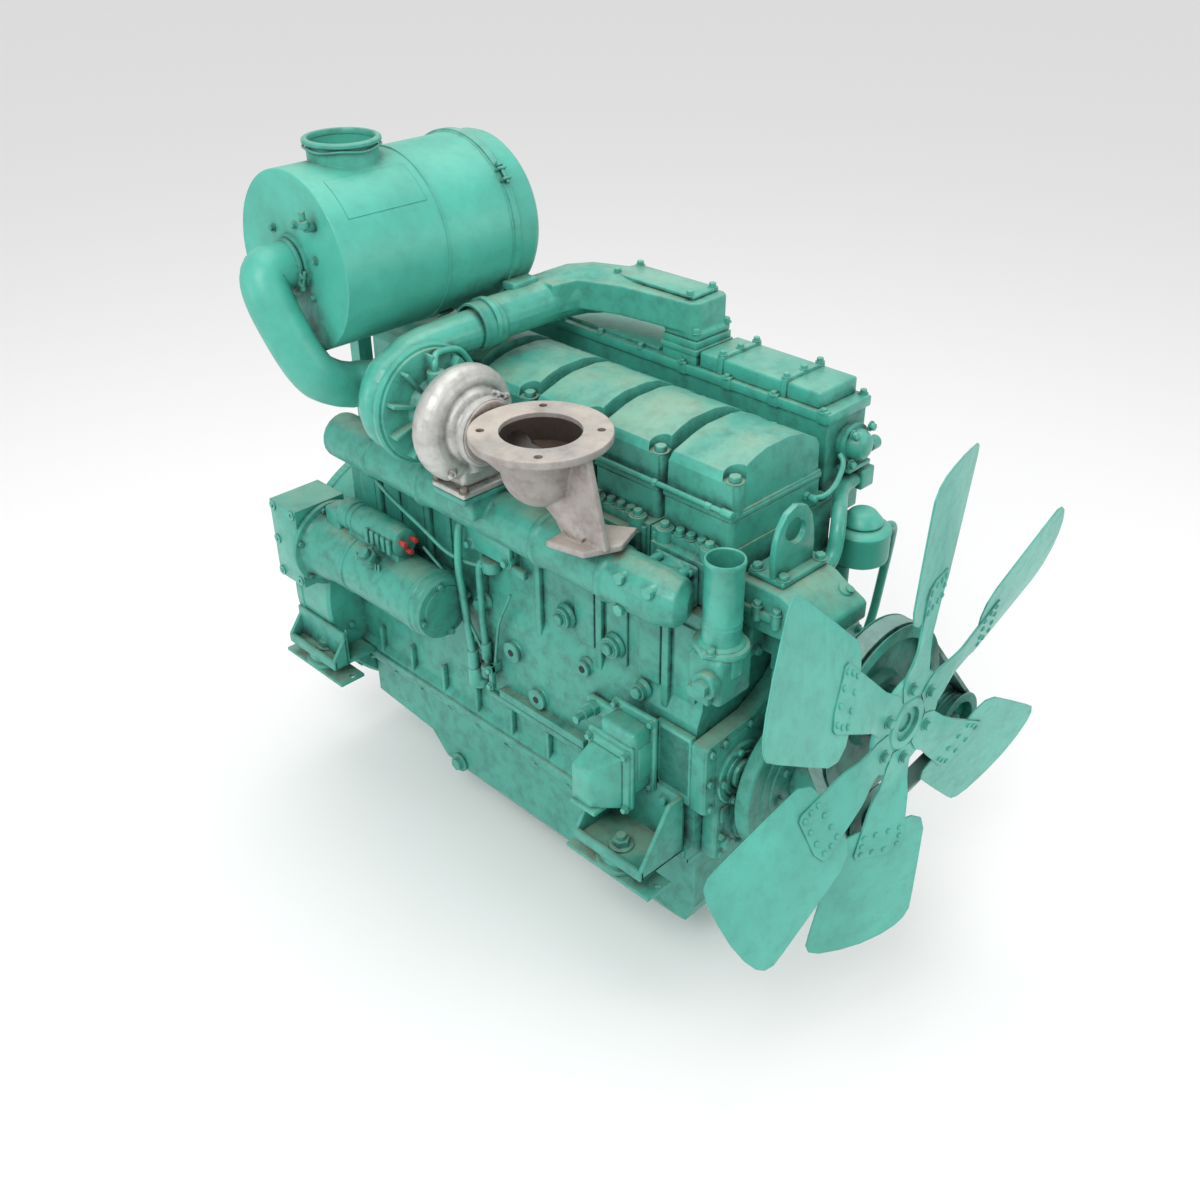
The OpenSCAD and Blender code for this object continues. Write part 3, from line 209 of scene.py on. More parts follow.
NODE_MAT = {}
for n in ("crankshaft", "camshaft", "accessory_gear", "turbo_rotor", "starter_pinion",
          "push_rods", "rocker_arms", "valves", "flywheel", "pump_rotor", "cover_bolts"):
    NODE_MAT[n] = "steel"
for n in ("cylinder_liners",):
    NODE_MAT[n] = "iron"
for n in ("aftercooler_core", "pistons_1_6", "pistons_2_5", "pistons_3_4"):
    NODE_MAT[n] = "alloy"
for n in ("cylinder_block", "gear_case", "oil_pan", "fuel_pump", "mounting_feet", "accessory_case",
          "fan_bracket", "water_pump", "exhaust_manifold", "oil_filters"):
    NODE_MAT[n] = "green_worn"
for n in ("cylinder_heads", "rocker_housings", "thermostat_housing"):
    NODE_MAT[n] = "green_dusty"
for n in ("filter_canister", "filter_end_cover", "inlet_pipe", "aftercooler_cover"):
    NODE_MAT[n] = "green_clean"
NODE_MAT.update(turbine_housing="silver", exhaust_elbow="elbow", fan_belt="belt", filter_element="paper",
        filler_cap="green", fan="blade", cover_bolts="green", crank_pulley="steel", fan_pulley="green_worn")

for name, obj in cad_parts.items():
    mat = MAT[NODE_MAT.get(name, "green")]
    obj.data.materials.clear()
    obj.data.materials.append(mat)

# ---------------------------------------------------------------- camera, light, floor
AZ, EL, ROLL = math.radians(-45.462), math.radians(32.121), math.radians(-0.106)
CAM = Vector((-1.958, -2.846, 1.948))
back = Vector((math.sin(AZ) * math.cos(EL), -math.cos(AZ) * math.cos(EL), math.sin(EL)))
right = Vector((math.cos(AZ), math.sin(AZ), 0))
upv = back.cross(right)
rot = Matrix((right, upv, back)).transposed()
cam_data = bpy.data.cameras.new("camera")
cam = bpy.data.objects.new("camera", cam_data)
bpy.context.scene.collection.objects.link(cam)
cam.matrix_world = Matrix.Translation(CAM) @ rot.to_4x4() @ Matrix.Rotation(ROLL, 4, "Z")
cam_data.sensor_width = 36
cam_data.lens = 39.32
cam_data.shift_x = -0.0150
cam_data.shift_y = -0.0033
cam_data.clip_end = 50
bpy.context.scene.camera = cam

scene = bpy.context.scene
scene.render.engine = "CYCLES"
scene.view_settings.view_transform = "Standard"

world = bpy.data.worlds.new("studio")
scene.world = world
world.use_nodes = True
wt = world.node_tree
bg = wt.nodes["Background"]
bg.inputs["Color"].default_value = (1, 1, 1, 1)
lp = wt.nodes.new("ShaderNodeLightPath")
st = ramp(wt, lp.outputs["Is Camera Ray"], 0.0, 1.0, 0.82, 1.0)
link(wt, st, bg.inputs["Strength"])

def area_light(name, pos, target, size, power):
    """A rectangular lamp at pos (m) that looks at target."""
    d = bpy.data.lights.new(name, "AREA")
    d.shape = "RECTANGLE"
    d.size = size[0]
    d.size_y = size[1]
    d.energy = power
    o = bpy.data.objects.new(name, d)
    scene.collection.objects.link(o)
    o.location = pos
    o.rotation_euler = (Vector(target) - Vector(pos)).to_track_quat("-Z", "Y").to_euler()
    return o

area_light("key", (-3.4, -2.2, 3.9), (0, -0.8, 0.3), (2.6, 2.0), 110)
area_light("top", (0.4, -0.6, 4.2), (0, -0.8, 0.2), (3.4, 3.4), 70)
area_light("front", (1.6, -5.0, 1.6), (0, -1.0, 0.2), (2.2, 2.2), 34)
area_light("side", (-4.5, 0.8, 1.2), (0, -0.6, 0.2), (2.0, 2.0), 26)

bpy.ops.mesh.primitive_plane_add(size=240, location=(0, 0, FLOOR_Z))
floor = bpy.context.active_object
floor.name = "floor"
fm = bpy.data.materials.new("pale_floor")
fm.use_nodes = True
ft = fm.node_tree
fp = ft.nodes["Principled BSDF"]
fp.inputs["Base Color"].default_value = (0.86, 0.86, 0.86, 1)
fp.inputs["Roughness"].default_value = 0.9
floor.data.materials.append(fm)

# ---------------------------------------------------------------- modelling helpers
def deselect():
    bpy.ops.object.select_all(action="DESELECT")

def pick(obj):
    deselect()
    obj.select_set(True)
    bpy.context.view_layer.objects.active = obj
    return obj

def axis_rot(axis):
    return Vector(axis).to_track_quat("Z", "Y").to_matrix().to_4x4()

def place(obj, at, axis=UP, spin=0.0):
    """Turns obj's mesh so that its +Z points along axis and moves it to at (mm); its origin stays at zero."""
    turned = axis_rot(axis) @ Matrix.Rotation(math.radians(spin), 4, "Z")
    obj.data.transform(Matrix.Translation(Vector(at) * MM) @ turned)
    obj.data.update()
    return obj

def turn_about(obj, at, angle, axis):
    """Turns obj's mesh about a line through at (mm), parallel to the axis X, Y or Z."""
    c = Vector(at) * MM
    obj.data.transform(Matrix.Translation(c) @ Matrix.Rotation(angle, 4, axis) @ Matrix.Translation(-c))

def bevel(obj, width, segments=2, angle=30):
    pick(obj)
    m = obj.modifiers.new("edge", "BEVEL")
    m.width = width * MM
    m.segments = segments
    m.limit_method = "ANGLE"
    m.angle_limit = math.radians(angle)
    bpy.ops.object.modifier_apply(modifier=m.name)
    return obj

def done(obj, name, mat, body=ROOT, smooth=32, replaces=()):
    """Names and shades a finished piece, and says its body and the CAD nodes it stands for."""
    pick(obj)
    bpy.ops.object.shade_smooth_by_angle(angle=math.radians(smooth))
    obj.name = name
    obj.data.name = name
    obj.data.materials.clear()
    obj.data.materials.append(MAT[mat])
    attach(obj, body)
    if replaces:
        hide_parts(*replaces)
    return obj

def drum(at, r, h, axis=UP, r2=None, seg=48, bev=0.0):
    """A round piece, straight or tapered, from at (mm) along axis."""
    deselect()
    bpy.ops.mesh.primitive_cone_add(vertices=seg, radius1=r * MM, radius2=(r if r2 is None else r2) * MM,
            depth=h * MM, location=(0, 0, h * MM / 2))
    o = bpy.context.active_object
    bpy.ops.object.transform_apply(location=True, rotation=True, scale=True)
    if bev:
        bevel(o, bev)
    return place(o, at, axis)

def block(lo, hi, bev=2.0, seg=2):
    """A box between two corners (mm) with rounded edges."""
    deselect()
    size = [b - a for a, b in zip(lo, hi)]
    mid = [(a + b) / 2 for a, b in zip(lo, hi)]
    bpy.ops.mesh.primitive_cube_add(size=1, location=[m * MM for m in mid])
    o = bpy.context.active_object
    o.scale = [s * MM for s in size]
    bpy.ops.object.transform_apply(location=True, rotation=True, scale=True)
    if bev:
        bevel(o, bev, seg)
    return o

def join(objs):
    deselect()
    for o in objs:
        o.select_set(True)
    bpy.context.view_layer.objects.active = objs[0]
    if len(objs) > 1:
        bpy.ops.object.join()
    return bpy.context.active_object

def lathe(profile, at, axis=UP, steps=64):
    """Revolves a profile of (radius, height) points in mm: a vertex is extruded along it and spun."""
    deselect()
    bpy.ops.mesh.primitive_plane_add(size=0.001)
    o = bpy.context.active_object
    bpy.ops.object.mode_set(mode="EDIT")
    bpy.ops.mesh.select_all(action="SELECT")
    bpy.ops.mesh.merge(type="CENTER")
    r0, z0 = profile[0]
    bpy.ops.transform.translate(value=(r0 * MM, 0, z0 * MM))
    for (ra, za), (rb, zb) in zip(profile, profile[1:]):
        bpy.ops.mesh.extrude_region_move(TRANSFORM_OT_translate={"value": ((rb - ra) * MM, 0, (zb - za) * MM)})
    bpy.ops.mesh.select_all(action="SELECT")
    bpy.ops.mesh.spin(steps=steps, angle=math.tau, center=(0, 0, 0), axis=UP)
    bpy.ops.mesh.select_all(action="SELECT")
    bpy.ops.mesh.remove_doubles(threshold=1e-6)
    bpy.ops.mesh.normals_make_consistent(inside=False)
    bpy.ops.object.mode_set(mode="OBJECT")
    return place(o, at, axis)

def prism(points, depth, at=(0, 0, 0), u=RIGHT, v=UP, bev=2.0, seg=2):
    """Fills an outline given in the plane of u and v (mm), extrudes it by depth along u x v."""
    deselect()
    bpy.ops.mesh.primitive_circle_add(vertices=len(points), radius=1, fill_type="NGON")
    o = bpy.context.active_object
    for vert, (a, b) in zip(o.data.vertices, points):
        vert.co = (a * MM, b * MM, 0)
    bpy.ops.object.mode_set(mode="EDIT")
    bpy.ops.mesh.select_all(action="SELECT")
    bpy.ops.mesh.extrude_region_move(TRANSFORM_OT_translate={"value": (0, 0, depth * MM)})
    bpy.ops.mesh.select_all(action="SELECT")
    bpy.ops.mesh.normals_make_consistent(inside=False)
    bpy.ops.object.mode_set(mode="OBJECT")
    if bev:
        bevel(o, bev, seg, 25)
    a, b = Vector(u), Vector(v)
    m = Matrix((a, b, a.cross(b))).transposed().to_4x4()
    o.data.transform(Matrix.Translation(Vector(at) * MM) @ m)
    return o

def bend_route(pts, d, k=6):
    """Rounds the corners of a route over a length of d (mm) with k steps each."""
    p = [Vector(q) for q in pts]
    out = [p[0]]
    for i in range(1, len(p) - 1):
        la, lb = (p[i - 1] - p[i]), (p[i + 1] - p[i])
        a = p[i] + la.normalized() * min(d, la.length * 0.48)
        b = p[i] + lb.normalized() * min(d, lb.length * 0.48)
        for j in range(k + 1):
            s = j / k
            out.append(a * (1 - s) ** 2 + p[i] * 2 * s * (1 - s) + b * s * s)
    out.append(p[-1])
    return out

def tube(pts, r, bend=None):
    """A round pipe of radius r (mm) along a route with rounded bends, closed at both ends."""
    deselect()
    bpy.ops.curve.primitive_nurbs_path_add()
    o = bpy.context.active_object
    c = o.data
    c.splines.clear()
    route = bend_route(pts, bend if bend else r * 3.2)
    sp = c.splines.new("POLY")
    sp.points.add(len(route) - 1)
    for q, w in zip(sp.points, route):
        q.co = (w.x * MM, w.y * MM, w.z * MM, 1)
    c.dimensions = "3D"
    c.bevel_depth = r * MM
    c.bevel_resolution = 5
    c.use_fill_caps = True
    bpy.ops.object.convert(target="MESH")
    return bpy.context.active_object

def template_bolt(r, h, washer=1.35, round_head=False):
    """One hexagon head on a washer, or one rivet head."""
    deselect()
    if round_head:
        bpy.ops.mesh.primitive_uv_sphere_add(segments=14, ring_count=8, radius=r * MM)
        o = bpy.context.active_object
        o.data.transform(Matrix.Diagonal((1, 1, h / r, 1)))
        return o
    bpy.ops.mesh.primitive_cylinder_add(vertices=6, radius=r * MM, depth=h * MM,
            location=(0, 0, h * MM / 2 + 1.5 * MM))
    o = bpy.context.active_object
    bpy.ops.object.transform_apply(location=True)
    bevel(o, r * 0.12, 1)
    parts = [o, drum((0, 0, -0.5), r * washer, 2.5, seg=20)]
    return join(parts)

def grid(xs, ys, zs, axis=UP):
    """(position, axis) pairs at every combination of xs, ys and zs."""
    return [((x, y, z), axis) for x in xs for y in ys for z in zs]

def studs(name, places, r=8, h=9, mat="green", body=ROOT, washer=1.35, round_head=False,
        spin=17):
    """The same bolt head or rivet at each (position, axis), joined into one object."""
    t = template_bolt(r, h, washer, round_head)
    out = []
    for i, (at, axis) in enumerate(places):
        o = t.copy()
        o.data = t.data.copy()
        bpy.context.scene.collection.objects.link(o)
        place(o, at, axis, spin * i)
        out.append(o)
    bpy.data.objects.remove(t, do_unlink=True)
    return done(join(out), name, mat, body)

# ---------------------------------------------------------------- fan
def rot_y(deg):
    return Matrix.Translation(Vector((0, FAN_Y, FAN_Z)) * MM) @ Matrix.Rotation(-math.radians(deg), 4, "Y")

BLADE = [(-200, -62), (-192, -96), (-166, -118), (-60, -132), (60, -146), (92, -148), (112, -138), (124, -110),
        (132, -50), (135, 10), (130, 70), (120, 112), (106, 136), (84, 149), (50, 148), (-60, 140), (-150, 132),
        (-184, 116), (-200, 84)]
PITCH = 16.0

def subdivide(obj):
    """Cuts the faces finer without moving them, so that the piece can be bent."""
    pick(obj)
    m = obj.modifiers.new("cut", "SUBSURF")
    m.subdivision_type = "SIMPLE"
    m.levels = 3
    bpy.ops.object.modifier_apply(modifier=m.name)

def fan_pieces():
    """Six pitched and slightly cambered blades, each riveted to an arm, and the hub."""
    for i in range(6):
        a = 22.5 + 60 * i
        plate = prism(BLADE, 3.5, (0, 1.75, 0), bev=0)
        subdivide(plate)
        for v in plate.data.vertices:
            z = v.co.z / 0.15
            v.co.y += 0.007 * z * z - 0.005
        plate.data.transform(Matrix.Translation((0.46, 0, 0)) @ Matrix.Rotation(math.radians(PITCH), 4, "X"))
        plate.data.transform(rot_y(a))
        done(plate, "fan_blade_%d" % (i + 1), "blade", "fan_body", smooth=40)
        arm = prism([(60, -33), (96, -46), (150, -44), (205, -54), (322, -70), (334, -62), (344, 30), (334, 62),
                (320, 68), (205, 52), (150, 44), (96, 46), (60, 33)], 5, (0, -3.0, 0), bev=0)
        subdivide(arm)
        for v in arm.data.vertices:
            s = min(1.0, max(0.0, (v.co.x - 0.105) / 0.095))
            s = s * s * (3 - 2 * s)
            v.co = Matrix.Rotation(math.radians(PITCH) * s, 3, "X") @ (v.co + Vector((0, -0.001 * s, 0)))
        arm.data.transform(rot_y(a))
        done(arm, "fan_arm_%d" % (i + 1), "blade", "fan_body", smooth=40)
    rivets = []
    for i in range(6):
        m = rot_y(22.5 + 60 * i)
        tilt = Matrix.Rotation(math.radians(PITCH), 4, "X")
        for x, z in [(278, -52), (278, -20), (278, 16), (278, 48), (300, -54), (300, 52), (322, -52),
                (324, -20), (326, 14), (322, 50)]:
            p = m @ tilt @ Vector((x * MM, -9.2 * MM, z * MM))
            n = (m.to_3x3() @ tilt.to_3x3() @ Vector(FRONT))
            rivets.append((p / MM, n))
    studs("fan_rivets", rivets, 6.5, 4.5, "blade", "fan_body", round_head=True)
    hub = lathe([(0, -3), (118, -3), (122, 0), (122, 5), (118, 8), (62, 8), (58, 12), (40, 12), (40, 4),
            (22, 4), (22, -1), (0, -1)], (0, FAN_Y + 2, FAN_Z), FRONT)
    done(hub, "fan_hub_disc", "blade", "fan_body", replaces=("fan",))
    places = [((46 * math.cos(math.radians(60 * i + 30)), FAN_Y - 8, FAN_Z
            + 46 * math.sin(math.radians(60 * i + 30))), FRONT) for i in range(6)]
    studs("fan_hub_bolts", [((x * 1.9, y, FAN_Z + (z - FAN_Z) * 1.9), n) for (x, y, z), n in places], 11, 10,
            "blade", "fan_body")
    spacer = lathe([(75, 0), (75, 22), (60, 24), (60, 0)], (0, FAN_Y + 26, FAN_Z), FRONT)
    done(spacer, "fan_spacer", "green_worn", "fan_body")

fan_pieces()

def boolean(obj, cutters):
    """Cuts each cutter from obj and removes the cutters."""
    for c in cutters:
        pick(obj)
        m = obj.modifiers.new("cut", "BOOLEAN")
        m.operation = "DIFFERENCE"
        m.solver = "EXACT"
        m.object = c
        bpy.ops.object.modifier_apply(modifier=m.name)
        bpy.data.objects.remove(c, do_unlink=True)
    return obj

def cast(objs, voxel=3.0, smooth=6):
    """Melts joined pieces into one casting: voxel remesh, then a smooth that rounds the inner corners."""
    o = join(objs)
    pick(o)
    o.data.remesh_voxel_size = voxel * MM
    o.data.remesh_voxel_adaptivity = 0.0
    bpy.ops.object.voxel_remesh()
    m = o.modifiers.new("flow", "SMOOTH")
    m.factor = 0.5
    m.iterations = smooth
    bpy.ops.object.modifier_apply(modifier=m.name)
    return o

def swell_tube(pts, radii):
    """A closed round tube whose radius changes along its route (mm)."""
    deselect()
    bpy.ops.curve.primitive_nurbs_path_add()
    o = bpy.context.active_object
    c = o.data
    c.splines.clear()
    sp = c.splines.new("POLY")
    sp.points.add(len(pts) - 1)
    for q, w, r in zip(sp.points, pts, radii):
        q.co = (w[0] * MM, w[1] * MM, w[2] * MM, 1)
        q.radius = r * MM
    c.dimensions = "3D"
    c.bevel_depth = 1.0
    c.bevel_resolution = 8
    c.use_fill_caps = True
    bpy.ops.object.convert(target="MESH")
    return bpy.context.active_object

def ring_places(at, r, n, axis, start=0.0, lift=0.0):
    """n (position, axis) pairs on a circle of radius r (mm) about axis."""
    m = axis_rot(axis)
    out = []
    for i in range(n):
        a = math.radians(start + 360 * i / n)
        p = Vector(at) + m.to_3x3() @ Vector((r * math.cos(a), r * math.sin(a), lift))
        out.append((p, axis))
    return out

def vband(name, at, r, axis, mat="green", bolt_angle=0.0, w=16):
    """A V-band clamp: a channel ring with a T-bolt across its gap."""
    ring = lathe([(r - 6, -w / 2), (r + 1, -w / 2), (r + 6, -w / 4), (r + 6, w / 4), (r + 1, w / 2),
            (r - 6, w / 2), (r - 6, -w / 2)], at, axis)
    m = axis_rot(axis).to_3x3()
    a = math.radians(bolt_angle)
    out = m @ Vector((math.cos(a), math.sin(a), 0))
    tang = m @ Vector((-math.sin(a), math.cos(a), 0))
    c = Vector(at) + out * (r + 12)
    bar = drum(c - tang * 22, 4, 44, tang, seg=16)
    nut = drum(c + tang * 14, 8, 9, tang, seg=6)
    ears = [drum(c + tang * s - out * 4, 9, 6, tang, seg=20) for s in (-12, 8)]
    return done(join([ring, bar, nut, *ears]), name, mat)

COVER_SIDE = [(-142, 8), (-142, 80), (-130, 98), (-66, 120), (-30, 127), (44, 127), (84, 119), (132, 95),
        (142, 78), (142, 8)]

def bolt_spots(y, z):
    """The two bolts of the cover at y, at height z."""
    return [(-122, y - 76, z), (122, y + 27, z)]

def rocker_covers():
    """Six covers with low crowns, flanges and bolt columns."""
    for i, y in enumerate(CYL_Y):
        body = prism(COVER_SIDE, 178, (0, y + 89, ROCKER_TOP), bev=0)
        for v in body.data.vertices:
            h = (v.co.z / MM - ROCKER_TOP - 62) / 72
            if h > 0:
                s = 1 if v.co.y / MM > y else -1
                v.co.y -= s * 9 * h * MM
        boolean(body, [drum(p, 25, 80) for p in bolt_spots(y, ROCKER_TOP + 80)])
        bevel(body, 9, 4, 28)
        flange = block((-150, y - 95, ROCKER_TOP), (150, y + 95, ROCKER_TOP + 13), 3)
        lip = block((-148, y - 93, ROCKER_TOP + 12), (148, y + 93, ROCKER_TOP + 18), 2)
        bosses = [drum(p, 19, 76, bev=2) for p in bolt_spots(y, ROCKER_TOP + 4)]
        done(join([body, flange, lip, *bosses]), "cover_shell_%d" % (i + 1),
                "green_dusty" if i < 5 else "green", replaces=("rocker_cover_%d" % (i + 1),), smooth=40)
    tops = [(p, UP) for y in CYL_Y for p in bolt_spots(y, ROCKER_TOP + 80)]
    b = studs("cover_bolt_heads", tops, 14, 13, "green_dusty", washer=1.4)
    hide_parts("cover_bolts")

def heads():
    """Rows of head bolts and the pads on the heads' left side."""
    bolts, pads = [], []
    for y in CYL_Y:
        for s in (-62, 62):
            bolts.append(((-176, y + s, 610), UP))
        for s in (-30, 0, 30):
            bolts.append(((-163, y + s, 601), UP))
        for s in (-80, -40, 40, 80):
            bolts.append(((170, y + s, 601), UP))
        pads.append(block((-206, y - 46, 486), (-199, y + 46, 566), 3))
        for s in (-84, 84):
            pads.append(block((-186, y + s - 8, 480), (-176, y + s + 8, 592), 3))
    studs("head_bolts", bolts, 11, 12, "green_dusty")
    done(join(pads), "head_side_pads", "green_worn")

def turbo():
    """Compressor volute, ribbed bearing housing and turbine volute."""
    cx, cy, cz = TURBO_X, TURBO_Y, TURBO_Z
    pts, rad = [], []
    for k in range(30):
        a = math.radians(62 - k * 10.7)
        f = k / 29
        rc = 102 - 8 * f
        pts.append((cx + rc * math.cos(a), cy, cz + rc * math.sin(a)))
        rad.append(22 + 23 * f)
    # the last stretch leaves along +X towards the coupling
    end = [(-330, cy, 862), (-290, cy, 868), (-230, cy, 870), (-135, cy, 870)]
    pts = pts[:-2] + end
    rad = rad[:-2] + [45, 45.5, 46, 47]
    volute = swell_tube(pts, rad)
    core = lathe([(0, -30), (122, -30), (134, -40), (134, -54), (128, -55), (128, -44), (100, -24), (90, 20),
            (74, 44), (66, 50), (62, 52), (62, 58), (60, 60), (0, 60)], (cx, cy, cz), REAR)
    comp = cast([volute, core], 3.0, 5)
    boolean(comp, [drum((cx, cy + 30, cz), 54, 90, REAR), drum((-200, cy, 870), 39, 90, RIGHT)])
    done(comp, "compressor_volute", "green", replaces=("compressor_housing",), smooth=60)
    lip = lathe([(40, 0), (52, 0), (52, 10), (47, 12), (40, 12), (40, 0)], (-133, cy, 870), RIGHT)
    done(lip, "compressor_outlet_lip", "green")
    vband("compressor_band", (cx, cy - 50, cz), 134, REAR, "green", 160, 18)
    # bearing housing with radial pockets
    bh = lathe([(14, -44), (84, -44), (84, -36), (70, -34), (58, -22), (56, 8), (68, 24), (112, 32), (128, 34),
            (130, 44), (14, 44), (14, -44)], (cx, -700, cz), REAR)
    ribs = [block((cx - 4, -692, cz + 55), (cx + 4, -664, cz + 122), 1.5) for _ in range(10)]
    for k, r in enumerate(ribs):
        turn_about(r, (cx, 0, cz), math.tau * k / 10, "Y")
    oil = drum((cx, -695, cz + 50), 20, 40, UP, bev=2)
    drain = drum((cx, -695, cz - 95), 24, 45, UP, bev=2)
    done(join([bh, oil, drain, *ribs]), "bearing_cartridge", "green_dusty", replaces=("bearing_housing",),
            smooth=35)
    studs("bearing_bolts", ring_places((cx, -700, cz), 98, 8, REAR, 20, 36)
            + ring_places((cx, -735, cz), 72, 6, FRONT, 0, 0), 7, 8, "silver")
    # turbine volute
    ty = -786
    pts, rad = [], []
    for k in range(28):
        a = math.radians(-60 + k * 11.5)
        f = k / 27
        pts.append((cx + (98 - 5 * f) * math.cos(a), ty, cz + (98 - 5 * f) * math.sin(a)))
        rad.append(26 + 18 * f)
    pts += [(cx - 30, ty, cz - 96)]
    rad += [46]
    tv = swell_tube(pts, rad)
    tc = lathe([(0, 40), (84, 40), (96, 26), (92, -20), (78, -44), (66, -52), (64, -60), (71, -64), (71, -71),
            (0, -71)], (cx, ty, cz), REAR)
    foot = block((-383, -828, 628), (-272, -747, 720), 8)
    neck = drum((cx, ty, 660), 52, 70, UP)
    plate = block((-398, -843, 610), (-257, -732, 625), 4)
    tur = cast([tv, tc, foot, neck, plate], 3.0, 4)
    boolean(tur, [drum((cx, ty - 10, cz), 50, 70, FRONT)])
    done(tur, "turbine_volute", "silver", replaces=("turbine_housing",), smooth=60)
    studs("turbine_foot_bolts", grid((-388, -267), (-833, -742), (624,)), 9, 10, "iron")
    vband("turbine_outlet_band", (cx, -858, cz), 72, REAR, "silver", 120, 18)
    stud = [drum((-372, -800, 690), 6, 60, (-0.8, -0.5, -0.3), seg=16), drum((-402, -819, 679), 11, 12,
            (-0.8, -0.5, -0.3), seg=6)]
    done(join(stud), "turbine_probe", "silver")

def elbow():
    """The bare cast exhaust elbow with its round flange, legs and sooty bore."""
    c = (-335, -1030)
    flange = drum((c[0], c[1], 802), 150, 18, seg=96)
    under = drum((c[0], c[1], 742), 88, 62, r2=108)
    deselect()
    bpy.ops.mesh.primitive_uv_sphere_add(segments=48, ring_count=24, radius=88 * MM,
            location=(c[0] * MM, c[1] * MM, 742 * MM))
    bowl2 = bpy.context.active_object
    bpy.ops.object.transform_apply(location=True)
    inlet = drum((c[0], -876, 760), 54, 150, (0, -1, -0.16), r2=62)
    vlip = drum((c[0], -860, 762), 71, 12, FRONT)
    leg = tube([(-335, -1040, 712), (-322, -1120, 640), (-318, -1150, 612)], 36)
    gus1 = prism([(-1030, 800), (-1172, 802), (-1222, 612), (-1092, 606), (-1050, 660)], 16, (-343, 0, 0), REAR,
            UP, bev=3)
    gus2 = prism([(49, 18), (113, -85), (37, -115), (-41, -81), (-60, 10)], 14, (-335, -1110, 600), RIGHT, REAR,
            bev=0)
    o = cast([flange, under, bowl2, inlet, vlip, leg, gus1, gus2], 3.0, 4)
    cut = drum((c[0], c[1], 752), 86.5, 90, seg=96)
    inner = drum((c[0], -840, 764), 42, 200, (0, -1, -0.17))
    holes = [drum((c[0] + 123.5 * math.cos(a), c[1] + 123.5 * math.sin(a), 790), 9, 50, seg=24)
            for a in [math.radians(q) for q in (45, 135, 225, 315)]]
    boolean(o, [cut, inner, *holes])
    soot = lathe([(0, 2), (60, 1.5), (85.5, 6), (85.5, 58), (86.3, 58), (86.3, 0.5), (0, 0.5), (0, 2)],
            (c[0], c[1], 752), UP, 96)
    boolean(soot, [drum((c[0], -840, 764), 41.5, 200, (0, -1, -0.17))])
    done(soot, "elbow_soot", "soot")
    done(o, "elbow_casting", "elbow", replaces=("exhaust_elbow",), smooth=50)

rocker_covers()
heads()
turbo()
elbow()

